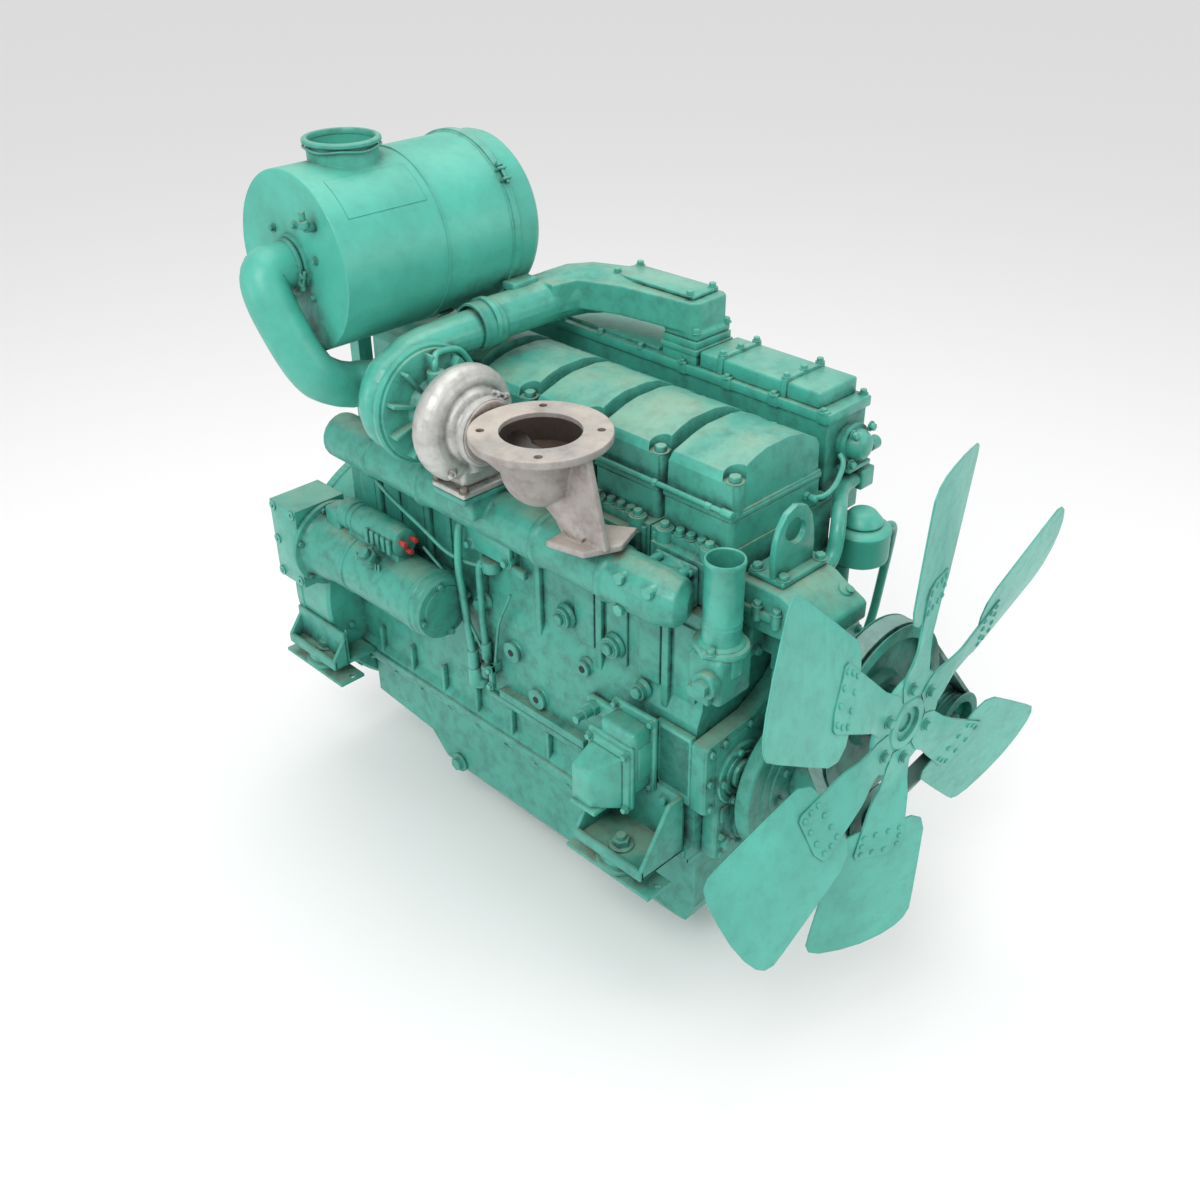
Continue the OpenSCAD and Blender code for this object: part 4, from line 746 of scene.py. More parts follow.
def air_filter():
    """Canister with seam and stack, end cover, clamp and a bare plate."""
    cx, cy, cz, r = FILTER_X, FILTER_Y, FILTER_Z, FILTER_R
    can = lathe([(46, -2), (66, 0), (180, 0), (191, -1), (196, -1), (r, 1), (r, 5), (r, 270), (r + 2.5, 271),
            (r + 2.5, 275), (r, 276), (r, 452), (r + 3, 458), (r + 5, 466), (r, 469), (46, 469)], (cx, cy, cz),
            RIGHT, 96)
    neck = lathe([(46, -12), (64, -12), (64, 2), (80, 4), (46, 4), (46, -12)], (cx, cy, cz), RIGHT, 64)
    stack = drum((-295, -375, 1190), 78, 94, seg=64)
    boolean(can, [drum((-295, -375, 1150), 72, 150, seg=64)])
    boolean(stack, [drum((-295, -375, 1150), 73, 160, seg=64), drum((cx + 4, cy, cz), 194, 460, RIGHT, seg=96)])
    rim = lathe([(72, 0), (82, 0), (86, 3), (86, 9), (82, 12), (74, 12), (72, 8), (72, 0)], (-295, -375, 1276),
            UP, 64)
    done(join([can, neck, stack]), "filter_can", "green_clean", replaces=("filter_canister",), smooth=40)
    done(rim, "filter_stack_rim", "green_worn")
    wire = tube([(-295 + 84 * math.cos(a), -375 + 84 * math.sin(a), 1270 + 2 * math.sin(5 * a))
            for a in [math.tau * k / 40 for k in range(39)]], 3, 4)
    done(wire, "stack_band_wire", "green_worn")
    end = lathe([(r - 2, 4), (r + 1, 6), (r + 1, 20), (r - 1, 24), (r - 1, 58), (r - 5, 72), (r - 16, 84),
            (r - 40, 94), (r - 70, 100), (0, 105)], (15.3, cy, cz), RIGHT, 96)
    done(end, "filter_cap", "green_clean", replaces=("filter_end_cover",), smooth=50)
    rings = [lathe([(r, -14), (r + 3, -14), (r + 4, -10), (r + 8, -9), (r + 8, 9), (r + 4, 10), (r + 3, 14),
            (r, 14), (r, -14)], (15.3, cy, cz), RIGHT, 96)]
    m = []
    for s in (-16, 10):
        m.append(block((2, cy + s - 3, cz + r + 2), (28, cy + s + 3, cz + r + 20), 1.5))
    m.append(drum((15, cy - 26, cz + r + 13), 4, 54, REAR, seg=16))
    m.append(drum((15, cy + 16, cz + r + 13), 8, 9, REAR, seg=6))
    t = join(m)
    turn_about(t, (0, cy, cz), math.radians(50), "X")
    done(join([*rings, t]), "filter_clamp", "green")
    # a bare, slightly raised plate that follows the can
    deselect()
    bpy.ops.mesh.primitive_cylinder_add(vertices=160, radius=(r + 0.8) * MM, depth=206 * MM,
            end_fill_type="NOTHING")
    o = bpy.context.active_object
    bpy.ops.object.mode_set(mode="EDIT")
    bpy.ops.mesh.select_all(action="DESELECT")
    bpy.ops.object.mode_set(mode="OBJECT")
    for f in o.data.polygons:
        a = math.degrees(math.atan2(f.center.y, f.center.x)) % 360
        f.select = not (114 <= a <= 145)
    bpy.ops.object.mode_set(mode="EDIT")
    bpy.ops.mesh.delete(type="FACE")
    bpy.ops.object.mode_set(mode="OBJECT")
    pick(o)
    s = o.modifiers.new("thick", "SOLIDIFY")
    s.thickness = 1.2 * MM
    bpy.ops.object.modifier_apply(modifier=s.name)
    place(o, (-308, cy, cz), RIGHT)
    done(o, "filter_bare_plate", "green_clean")
    ind = [drum((-456, cy - 96, cz + 96), 10, 22, (-1, 0, 0.2), bev=1), drum((-478, cy - 96, cz + 100), 12, 16,
            (-0.2, 0, 1), bev=2), drum((-480, cy - 96, cz + 116), 7, 18, (-0.1, 0, 1), seg=20)]
    done(join(ind), "filter_indicator", "green_worn")
    studs("filter_face_nuts", ring_places((cx, cy, cz), 90, 6, LEFT, 15, 0), 7, 9, "green_worn", spin=9)

def inlet():
    """The bent pipe from the filter to the compressor with its two clamps."""
    route = bend_route([(-467.3, -381, 1048), (-556, -381, 1048), (-512, -470, 838), (-452, -470, 792),
            (-401, -466, 772)], 110, 10)
    for a in range(10, 91, 10):
        route.append(Vector((-401 + 66 * math.sin(math.radians(a)), -532 + 66 * math.cos(math.radians(a)),
                772 - a / 9)))
    route.append(Vector((-335, -539.7, 762)))
    done(swell_tube(route, [52] * len(route)), "inlet_tube", "green_clean", replaces=("inlet_pipe",), smooth=60)
    vband("inlet_clamp_1", (-474, -381, 1048), 52, RIGHT, "green_worn", 200, 12)
    vband("inlet_clamp_2", (-335, -532, 762), 56, REAR, "green_worn", 200, 12)

def crossover():
    """The charge air duct over the covers, with its coupling and lid."""
    pts = [(-118, -600, 880), (20, -600, 880), (110, -602, 884), (180, -630, 890), (220, -700, 896),
            (240, -790, 896)]
    pipe = swell_tube(pts, [52, 52, 54, 56, 52, 46])
    plen = prism([(60, -556), (196, -552), (252, -588), (302, -700), (310, -960), (298, -978), (206, -978),
            (192, -962), (168, -760), (130, -660), (60, -648)], 72, (0, 0, 862), RIGHT, REAR, bev=0)
    base = block((192, -984, 848), (310, -882, 866), 3)
    pad = block((-20, -600, 925), (60, -560, 944), 3)
    o = cast([pipe, plen, base], 3.2, 8)
    done(o, "crossover_duct", "green_dusty", replaces=("air_crossover",), smooth=60)
    done(pad, "crossover_pad", "green")
    lip = lathe([(44, 0), (57, 0), (57, 14), (52, 16), (44, 16), (44, 0)], (-118, -600, 880), RIGHT)
    done(lip, "crossover_lip", "green")
    sleeve = lathe([(50, -34), (55, -34), (57, -28), (55, -20), (55, 20), (57, 28), (55, 34), (50, 34),
            (50, -34)], (-118, -600, 875), RIGHT)
    done(sleeve, "crossover_sleeve", "green_worn")
    lid = prism([(206, -690), (296, -700), (302, -950), (210, -955)], 8, (0, 0, 936), RIGHT, REAR, bev=2)
    done(lid, "crossover_lid", "green")
    studs("crossover_bolts", grid((198, 304), (-976, -890), (866,)) + grid((214, 292), (-710, -940), (943,)), 9,
            10, "green")

def aftercooler():
    """Case, flange, ribbed cover and front neck."""
    done(block((190, -1365, 520), (330, -250, 767), 5, 3), "aftercooler_case", "green_worn",
            replaces=("aftercooler_body",))
    done(block((183, -1371, 767), (337, -244, 791), 3), "aftercooler_flange", "green")
    top = [block((193, -1337, 790), (327, -1244, 829), 6, 3), block((193, -1232, 790), (327, -1062, 829), 6, 3),
            block((193, -1050, 790), (327, -992, 829), 6, 3)]
    ribs = [block((190, y - 8, 788), (330, y + 8, 836), 3) for y in (-1238, -1056)]
    stack = [block((190, -985, 788), (312, -880, 815), 3), block((186, -989, 815), (316, -876, 829), 2),
            block((190, -985, 829), (312, -880, 847), 2), block((200, -860, 788), (320, -262, 800), 3)]
    done(join(top + ribs + stack), "aftercooler_top", "green", replaces=("aftercooler_cover",))
    bolts = []
    for i in range(9):
        for x in (188, 332):
            bolts.append(((x, -1352 + i * 135, 791), UP))
    for y in (-1238, -1056):
        for x in (200, 262, 320):
            bolts.append(((x, y, 836), UP))
    studs("aftercooler_bolts", bolts, 8, 9, "green")
    ears = [block((181.4, y - 14, 765), (196, y + 14, 796.5), 3) for y in (-1352, -1217, -1082, -947)]
    done(join(ears), "aftercooler_ears", "green")
    neck = lathe([(26, 0), (38, 0), (38, 16), (46, 18), (46, 28), (26, 28), (26, 0)], (262, -1364, 706), FRONT)
    dome = lathe([(0, 36), (14, 35), (26, 30), (33, 20), (36, 8), (36, 0), (0, 0)], (262, -1390, 706), FRONT)
    boss = block((270, -1412, 594), (318, -1364, 642), 5, 3)
    flap = block((222, -1408, 650), (304, -1372, 662), 4)
    side = drum((304, -1396, 690), 16, 30, RIGHT, bev=2)
    done(join([neck, dome, boss, flap, side]), "aftercooler_neck", "green")
    studs("aftercooler_neck_bolts", [((230, -1404, 742), FRONT), ((294, -1404, 742), FRONT),
            ((230, -1404, 672), FRONT)], 9, 10, "green")

def starter():
    """Starter motor, solenoid, link case and terminals."""
    at, ax = (STARTER_X, -161, STARTER_Z), FRONT
    flange = drum(at, 118, 16, ax, seg=72, bev=2)
    boolean(flange, [block((-241.5, -200, 60), (-150, -140, 360), 0)])
    body = lathe([(0, 0), (100, 0), (104, 14), (98, 22), (94, 30), (92, 60), (86, 92), (86, 120), (84, 124),
            (84, 158), (86, 160), (86, 170), (83, 172), (83, 428), (86, 432), (86, 444), (83, 448), (83, 464),
            (76, 474), (40, 479), (0, 479)], at, ax, 72)
    boolean(body, [block((-241.5, -660, 60), (-150, -140, 360), 0)])
    done(join([flange, body]), "starter_body", "green_worn", replaces=("starter_motor",))
    sol = lathe([(0, 0), (38, 0), (40, 4), (40, 40), (37, 42), (37, 50), (40, 52), (40, 60), (37, 62), (37, 70),
            (40, 72), (40, 210), (36, 218), (36, 236), (28, 240), (0, 240)], (-326, -268, 342), ax, 48)
    done(sol, "starter_solenoid", "green_worn")
    link_ = [block((-354, -262, 250), (-298, -200, 345), 8, 3), block((-349, -500, 280), (-303, -290, 312), 6)]
    link_ += [block((-372, -500 + 22 * k, 322), (-364, -486 + 22 * k, 362), 2) for k in range(5)]
    link_ += [block((-388, -470 + 13 * k, 236), (-384, -463 + 13 * k, 290), 1.5) for k in range(8)]
    done(join(link_), "starter_link_case", "green_worn")
    neck = [drum((-366, -430, 262), 20, 46, (-0.55, -0.1, 0.83), bev=2), drum((-392, -435, 301), 26, 12,
            (-0.55, -0.1, 0.83), seg=6), drum((-398, -436, 311), 14, 18, (-0.55, -0.1, 0.83), bev=2)]
    done(join(neck), "starter_cable_post", "green_worn")
    lid = [drum((-326, -640, 212), 62, 8, ax, bev=2), drum((-326, -620, 212), 80, 24, ax, bev=4)]
    done(join(lid), "starter_end_lid", "green_worn")
    studs("starter_bolts", [q for q in ring_places(at, 106, 6, ax, 100, 15) if q[0][0] < -270]
            + ring_places((-326, -645, 212), 70, 4, ax, 10, 0), 8, 9, "green_worn")
    terms = [drum((-326 + x, -508, 342 + z), 7, 22, ax, seg=16) for x, z in ((-16, 10), (16, 10), (0, -16))]
    done(join(terms), "starter_terminals", "red")

def side_box():
    """Lid and screws of the starter box."""
    face = block((-421, -158, 108), (-414, -48, 329), 2)
    done(face, "starter_box_lid", "green")
    studs("starter_box_screws", [((-421, y, z), LEFT) for y, z in ((-150, 118), (-56, 118), (-150, 218),
            (-56, 218), (-150, 320), (-56, 320))], 6, 5, "green", round_head=True)

def housing():
    """Bolts and barrel of the flywheel housing, open where the pinion sits."""
    studs("housing_front_bolts", ring_places((0, -150, 0), 300, 12, FRONT, 15, 0), 10, 10, "green_worn")
    studs("housing_rim_bolts", ring_places((0, -24, 0), 339.7, 16, FRONT, 11.25, 0), 7, 8, "green_worn")
    barrel = lathe([(330, -132), (341, -136), (346, -120), (344, -34), (352, -26), (356, -24), (356, -1),
            (330, -1), (330, -132)], (0, 0, 0), REAR, 128)
    boolean(barrel, [drum((PINION_X, -160, PINION_Z), 41.5, 96, REAR, seg=64)])
    done(barrel, "housing_barrel", "green_worn", smooth=40)

def manifold():
    """The exhaust log with branches, flanges, sleeves and bolts."""
    log = swell_tube([(-280, -206, 525), (-280, -214, 525), (-280, -1280, 525), (-278, -1330, 525),
            (-270, -1368, 524), (-262, -1384, 524)], [34, 60, 62, 62, 52, 26])
    parts = [log]
    for y in CYL_Y:
        parts.append(drum((-280, y, 525), 46, 72, RIGHT))
        parts.append(block((-213, y - 60, 476), (-200, y + 60, 574), 8))
    parts.append(block((-370, -834, 540), (-264, -740, 600), 8))
    parts.append(block((-397, -842, 594), (-258, -733, 609), 3))
    for y in (-1191, -988, -582, -379):
        parts.append(lathe([(60, -10), (66, -8), (66, 8), (60, 10), (60, -10)], (-280, y + 0, 525), REAR))
    o = cast(parts, 4.0, 4)
    done(o, "manifold_log", "green_worn", replaces=("exhaust_manifold",), smooth=60)
    sl = []
    for y, z in ((-1253, 563), (-1333, 563), (-1253, 487)):
        sl.append(drum((-332, y, z), 11, 122, RIGHT, bev=1.5))
        sl.append(drum((-342, y, z), 14, 10, RIGHT, seg=6))
    done(join(sl), "manifold_sleeves", "green")
    bolts = []
    for y in CYL_Y:
        for s in (-48, 48):
            for z in (488, 562):
                bolts.append(((-213, y + s, z), LEFT))
    studs("manifold_bolts", bolts, 9, 11, "green_worn")

def water_neck():
    """The water inlet tube on its casting."""
    x, y = -228, -1440
    t = lathe([(37.5, -40), (37.5, 197), (39, 199), (42, 199), (43.5, 196), (43.5, 190), (41.5, 187),
            (41.5, 60), (42.3, 58), (41.5, 56), (41.5, 48), (42.3, 46), (41.5, 44), (42, 10), (50, 4), (50, 0)],
            (x, y, 444), UP)
    base = block((-284, -1486, 322), (-178, -1397, 434), 12, 3)
    fl = prism([(x + 62 * math.cos(math.radians(a)) * (1.0 if a % 180 in (0,) else 0.9), y
            + 62 * math.sin(math.radians(a))) for a in range(0, 360, 15)], 14, (0, 0, 432), RIGHT, REAR, bev=2)
    tub = drum((x, y, 380), 50, 60, bev=3)
    done(join([t, fl, tub]), "water_tube_casting", "green", smooth=35, replaces=("water_tube",))
    done(base, "water_tube_base", "green_worn")
    studs("water_tube_bolts", [((x - 50, y - 16, 446), UP), ((x + 50, y + 10, 446), UP)], 9, 11, "green")
    side = [drum((-280, y - 20, 380), 30, 26, LEFT, bev=3), drum((-306, y - 20, 380), 20, 14, LEFT, seg=6),
            block((-300, -1470, 330), (-276, -1410, 360), 4)]
    done(join(side), "water_tube_side_plug", "green_worn")

air_filter()
inlet()
crossover()
aftercooler()
starter()
side_box()
housing()
manifold()
water_neck()

def gear_front():
    """Gear case, its face, seal ring, accessory flange and bolts."""
    outline = [(-262, -8), (-262, 170), (-255, 177), (-110, 190), (-30, 232), (20, 286), (70, 318), (150, 328),
            (230, 306), (290, 250), (308, 170), (296, 96), (254, 40), (216, -20), (216, -169), (-216, -169),
            (-216, -30)]
    case = prism(outline, 40, (0, -1397, 0), bev=5, seg=3)
    cover = prism([(x * 0.985 - 1, z * 0.985 + 2) for x, z in outline], 8, (0, -1433, 0), bev=2)
    cheek = block((-262, -1398, -6), (-240.5, -1302, 178), 5, 3)
    done(join([case, cover, cheek]), "gear_case_shell", "green_worn", replaces=("gear_case",))
    inner = [(x * 0.86 - 2, z * 0.86 + 8) for x, z in outline]
    done(prism(inner, 3, (0, -1440, 0), bev=1), "gear_case_face", "green_worn")
    nose = lathe([(60.2, 0), (98, 0), (98, 4), (92, 8), (76, 8), (72, 12), (60.2, 12), (60.2, 0)],
            (0, -1440, 0), FRONT)
    done(nose, "front_seal_ring", "green_worn")
    x, z = -150, 61
    flange = lathe([(22.2, 0), (76, 0), (78, 2), (78, 9), (75, 12), (62, 12), (60, 10), (55, 10), (53, 14),
            (42, 14), (40, 11), (36, 11), (34, 21), (28, 24), (22.2, 24), (22.2, 0)], (x, -1441, z), FRONT, 72)
    done(flange, "accessory_flange", "green")
    studs("accessory_flange_bolts", ring_places((x, -1453, z), 68, 5, FRONT, 30, 0), 9, 9, "green")
    rim = [(-246, 160), (-250, 80), (-246, 6), (-204, 168), (-120, 178), (-52, 208), (6, 262), (64, 304),
            (150, 314), (224, 292), (278, 236), (290, 160), (276, 96), (200, -40), (202, -100), (202, -156),
            (130, -158), (60, -158), (-60, -158), (-130, -158), (-202, -156), (-204, -100)]
    studs("gear_case_bolts", [((a, -1441, b), FRONT) for a, b in rim], 9, 10, "green_worn")
    low = [drum((-120, -1438, -100), 44, 16, FRONT, bev=3), drum((-120, -1452, -100), 22, 10, FRONT, seg=6),
            drum((-186, -1438, -128), 16, 22, FRONT, bev=2), block((-206, -1448, -60), (-176, -1438, -20), 3),
            drum((120, -1438, -110), 30, 12, FRONT, bev=2)]
    done(join(low), "gear_case_lower_bosses", "green_worn")

def side_pump():
    """The side pump on its accessory case, with its fittings."""
    # flange on the case, body, second flange and a tapered end cap, all towards -X
    body = block((-331, -1292, 2), (-270, -1186, 172), 12, 4)
    neck = block((-316, -1296, 40), (-268, -1288, 130), 4)
    plate = block((-346, -1290, -40), (-329, -1160, 130), 8, 3)
    plate2 = block((-338, -1294, -34), (-325, -1156, 140), 6, 3)
    cap = block((-398, -1276, -34), (-346, -1172, 112), 0)
    for v in cap.data.vertices:
        if v.co.x < -0.39:
            v.co.y = -1.222 if v.co.y < -1.22 else -1.160
            v.co.z = 0.066 if v.co.z > 0 else -0.034
    bevel(cap, 7, 3)
    ledge = block((-404, -1240, -44), (-340, -1162, -32), 3)
    done(join([body, neck, plate, plate2, cap, ledge]), "side_pump_body", "green", replaces=("fuel_pump",))
    fl = [block((-277, -1304, -10), (-262, -1174, 192), 6, 3), block((-262, -1396, 18), (-241, -1290, 182), 4)]
    done(join(fl), "side_pump_flange", "green", replaces=("accessory_case",))
    ax = LEFT
    studs("side_pump_bolts", [((-277, -1294, 180), ax), ((-277, -1184, 180), ax), ((-277, -1294, 4), ax),
            ((-277, -1184, 4), ax), ((-346, -1282, 120), ax), ((-346, -1170, 120), ax),
            ((-346, -1282, -30), ax), ((-346, -1170, -30), ax)], 8, 9, "green")
    fit = [drum((-262, -1100, 118), 20, 16, ax, seg=6), drum((-276, -1100, 116), 14, 26, ax, bev=2),
            drum((-300, -1100, 114), 9, 18, ax, seg=20), drum((-316, -1100, 113), 11, 8, ax, seg=6),
            block((-262, -1172, 96), (-242, -1072, 140), 8, 3)]
    done(join(fit), "side_sensor", "green")
    seal = [drum((-371, -1205, 20), 12, 3, (-1, -0.35, 0.1), seg=24)]
    done(join(seal), "side_pump_boss", "green")

def feet():
    """Four mounting feet on isolators."""
    for name, y0, y1, s in (("front_left", -1405, -1140, 1), ("rear_left", -240, 25, 1),
            ("front_right", -1405, -1140, -1), ("rear_right", -240, 25, -1)):
        mid = (y0 + y1) / 2
        a, b = y0 + 24, y1 - 24
        plate = block((-400, y0, -195), (-322, y1, -185), 2)
        boolean(plate, [drum((-352, y, -200), 9, 20, seg=24) for y in (y0 + 14, y1 - 14)])
        floor_ = block((-398, a, -152), (-258, b, -140), 4, 3)
        side = [(-398, -152), (-398, -126), (-386, -112), (-306, 12), (-258, 12), (-258, -152)]
        if name.startswith("rear"):
            side = [(-398, -152), (-398, -122), (-390, -112), (-352, -62), (-346, -40), (-346, -152)]
        w1 = prism(side, 12, (0, a + 12, 0), bev=3)
        w2 = prism(side, 12, (0, b, 0), bev=3)
        lip = block((-400, a, -152), (-388, b, -124), 3)
        back = block((-266, a, -150), (-257, b, 10), 3) if name.startswith("front") else block((-360, a, -150),
                (-350, b, -48), 3)
        iso = [drum((-345, mid, -186), 62, 16, bev=4), drum((-345, mid, -172), 54, 22, bev=3)]
        nut = [drum((-350, mid, -141), 30, 6, seg=32, bev=1), drum((-350, mid, -135), 21, 16, seg=6),
                drum((-350, mid, -119), 12, 12, seg=20)]
        o = join([plate, floor_, w1, w2, lip, back, *iso, *nut])
        if s < 0:
            pick(o)
            o.data.transform(Matrix.Diagonal((-1, 1, 1, 1)))
            o.data.flip_normals()
        done(o, "foot_" + name, "green_worn", replaces=("mounting_feet",) if name == "front_left" else ())
    bolts = []
    for s in (1, -1):
        for y in (-1330, -1270, -1215):
            bolts.append(((-266 * s, y, -20), (-s, 0, 0)))
    studs("foot_bolts", bolts, 12, 12, "green_worn")

def side_block(s, xa, xb, ya, yb, za, zb, bev):
    """A block on the left (s = -1) or right (s = 1), between two distances from the middle."""
    return block((min(s * xa, s * xb), ya, za), (max(s * xa, s * xb), yb, zb), bev)

def block_side():
    """Ribs, panels, bosses, cover plate, rail and drain plugs on the block's sides and the pan."""
    pieces = []
    for s in (-1, 1):
        pieces.append(side_block(s, 240, 262, -1385, -165, -169, -150, 4))
        for k in range(9):
            y = -1330 + k * 136
            pieces.append(side_block(s, 238, 256, y - 6, y + 6, -152, -60, 4))
        pieces.append(side_block(s, 238, 252, -1180, -700, -64, -44, 5))
        for i, y in enumerate(CYL_Y):
            pieces.append(side_block(s, 222, 238.5, y - 10.5, y + 10.5, 203, 465, 5))
            if i not in (2, 3):
                pieces.append(side_block(s, 224, 232, y - 84, y - 20, 250, 440, 7))
                pieces.append(side_block(s, 224, 232, y + 20, y + 84, 250, 440, 7))
    done(join(pieces), "block_side_ribs", "green_worn")
    ax = LEFT
    boss = []
    for y, z, r in ((-982, 303, 25), (-1140, 296, 25), (-886, 22, 26), (-800, 120, 26), (-1052, 196, 18),
            (-690, 214, 20), (-1230, 222, 18)):
        boss.append(drum((-234, y, z), r + 8, 12, ax, r2=r, bev=2))
        boss.append(drum((-244, y, z), r + 1.6, 10.6, ax, bev=1.5))
    done(join(boss), "block_side_bosses", "green_worn")
    # dark discs on the bosses' faces: painted shade where the threaded holes are
    holes = [drum((-253, y, z), 9, 3, ax, seg=20) for y, z in ((-886, 22), (-800, 120), (-1052, 196))]
    done(join(holes), "block_boss_hole_shade", "dark")
    studs("block_plugs", [((-254, -982, 303), ax), ((-254, -1140, 296), ax), ((-254, -690, 214), ax),
            ((-254, -1230, 222), ax)], 15, 10, "green_worn")
    # cover plate with four capped bolts
    plate = prism([(-812, 372), (-800, 364), (-664, 364), (-652, 374), (-652, 458), (-664, 468), (-800, 468),
            (-812, 456)], 12, (-252, 0, 0), REAR, UP, bev=3)
    lugs = [drum((-236, y, z), 17, 18, ax, bev=2) for y in (-800, -665) for z in (376, 455)]
    done(join([plate, *lugs]), "side_cover_plate", "green", replaces=("side_cover",))
    studs("side_cover_bolts", grid((-254,), (-800, -665), (376, 455), LEFT), 10, 10, "green")
    arm = [drum((-240, -730, 350), 24, 30, (0, 0, -1), bev=3), block((-252, -860, 350), (-236, -812, 372), 4),
            drum((-250, -640, 470), 13, 40, (0, 0.2, 1), bev=2)]
    done(join(arm), "side_cover_neck", "green_worn")
    rail = []
    for s in (-1, 1):
        for k in range(11):
            rail.append(((s * 248, -1345 + k * 116, -182), (0, 0, -1)))
    for x in (-180, -90, 0, 90, 180):
        rail.append(((x, -1389, -182), (0, 0, -1)))
    studs("pan_bolts", rail, 9, 9, "green_worn")
    lip = [block((s * 248 - 9, -1392, -184), (s * 248 + 9, -156, -168), 3) for s in (-1, 1)]
    lip.append(block((-255, -1397, -184), (255, -1384, -168), 3))
    done(join(lip), "pan_rail_lip", "green_worn")
    drain = [drum((-222, -520, -400), 28, 8, ax, bev=2), drum((-229, -520, -400), 19, 14, ax, seg=6),
            drum((222, -700, -396), 28, 8, RIGHT, bev=2)]
    done(join(drain), "pan_drain_plugs", "green_worn")

def pipes():
    """Water pipes, head line, oil lines and thin tubes."""
    t = [tube([(269.7, -1392, 618), (214, -1394, 618), (110, -1470, 606), (88, -1480, 524), (35.3, -1480, 510)],
            17)]
    t.append(tube([(-225.3, -440, 440), (-247, -440, 440), (-247, -626, 440), (-225.3, -626, 440)], 8))
    done(join(t), "water_pipes", "green", replaces=("fluid_lines",))
    rail = [tube([(-156.3, -1386, 690), (-156.3, -278, 690)], 6),
            drum((-156.3, -1396, 690), 9, 30, REAR, bev=2), drum((-156.3, -1340, 690), 8, 16, REAR, seg=6)]
    rail += [drum((-156.3, y, 690), 9, 12, REAR, seg=6) for y in (-1190, -988, -786, -582, -380)]
    done(join(rail), "head_line", "green")
    dip = [tube([(-225.3, -703, 340), (-259, -703, 340), (-262, -708, 180), (-256, -712, 40), (-242, -712, 30)],
            9), drum((-258, -711, 64), 13, 46, UP, bev=2), drum((-257, -711, 10), 17, 34, UP, bev=3)]
    done(join(dip), "breather_tube", "green_worn")
    tall = [tube([(-225.3, -640, 430), (-262, -640, 424), (-282, -652, 320), (-276, -664, 160),
            (-264, -668, 34)], 10), drum((-266, -667, 20), 15, 52, UP, bev=3),
            drum((-262, -668, -32), 20, 52, UP, bev=3), drum((-250, -668, -40), 26, 26, UP, bev=4)]
    done(join(tall), "dipstick_tube", "green")
    thin = [tube([(-300, -330, 480), (-300, -420, 430), (-292, -540, 380), (-276, -610, 330), (-262, -690, 330),
            (-252, -730, 336)], 5, 40), tube([(-284, -520, 320), (-284, -600, 280), (-272, -660, 170),
            (-262, -720, 60)], 4, 30), tube([(-262, -820, 300), (-262, -770, 200), (-256, -740, 60)], 4, 30)]
    done(join(thin), "thin_lines", "green_worn")
    hose = [tube([(290.3, -1462, 505), (344, -1462, 505), (372, -1440, 420), (366, -1422, 230),
            (346, -1418, 165), (308.8, -1418, 165)], 11)]
    hose += [drum((x, y, z), 15, 12, a, bev=2) for x, y, z, a in ((296, -1462, 505, RIGHT),
            (326, -1418, 165, LEFT))]
    done(join(hose), "vent_hose", "green")
    link_ = [tube([(96, -1396, 640), (110, -1420, 640), (150, -1424, 652), (196, -1412, 690),
            (196, -1396, 706)], 6, 30), drum((96, -1386, 640), 11, 12, FRONT, seg=6),
            drum((96, -1400, 640), 8, 18, FRONT, bev=1)]
    done(join(link_), "front_line", "green")
    bracket = [block((-276, -748, 40), (-240, -734, 62), 3), block((-276, -748, -10), (-262, -734, 62), 3),
            block((-258, -700, 64), (-240, -640, 72), 2)]
    done(join(bracket), "tube_bracket", "green_worn")
    studs("tube_bracket_bolts", [((-276, -741, 50), LEFT), ((-276, -741, 2), LEFT)], 8, 8, "green")
    oil = [tube([(-335, -694, 836), (-335, -694, 868), (-318, -676, 884), (-240, -664, 870), (-196, -660, 800),
            (-196, -660, 690)], 8, 30), drum((-335, -694, 826), 14, 18, UP, seg=6)]
    done(join(oil), "turbo_oil_line", "green")
    drain = [tube([(-335, -694, 676), (-335, -694, 640), (-300, -690, 606), (-262, -680, 560),
            (-236, -680, 470)], 16, 40), drum((-335, -694, 660), 24, 10, UP, bev=2)]
    done(join(drain), "turbo_drain_line", "green_worn")

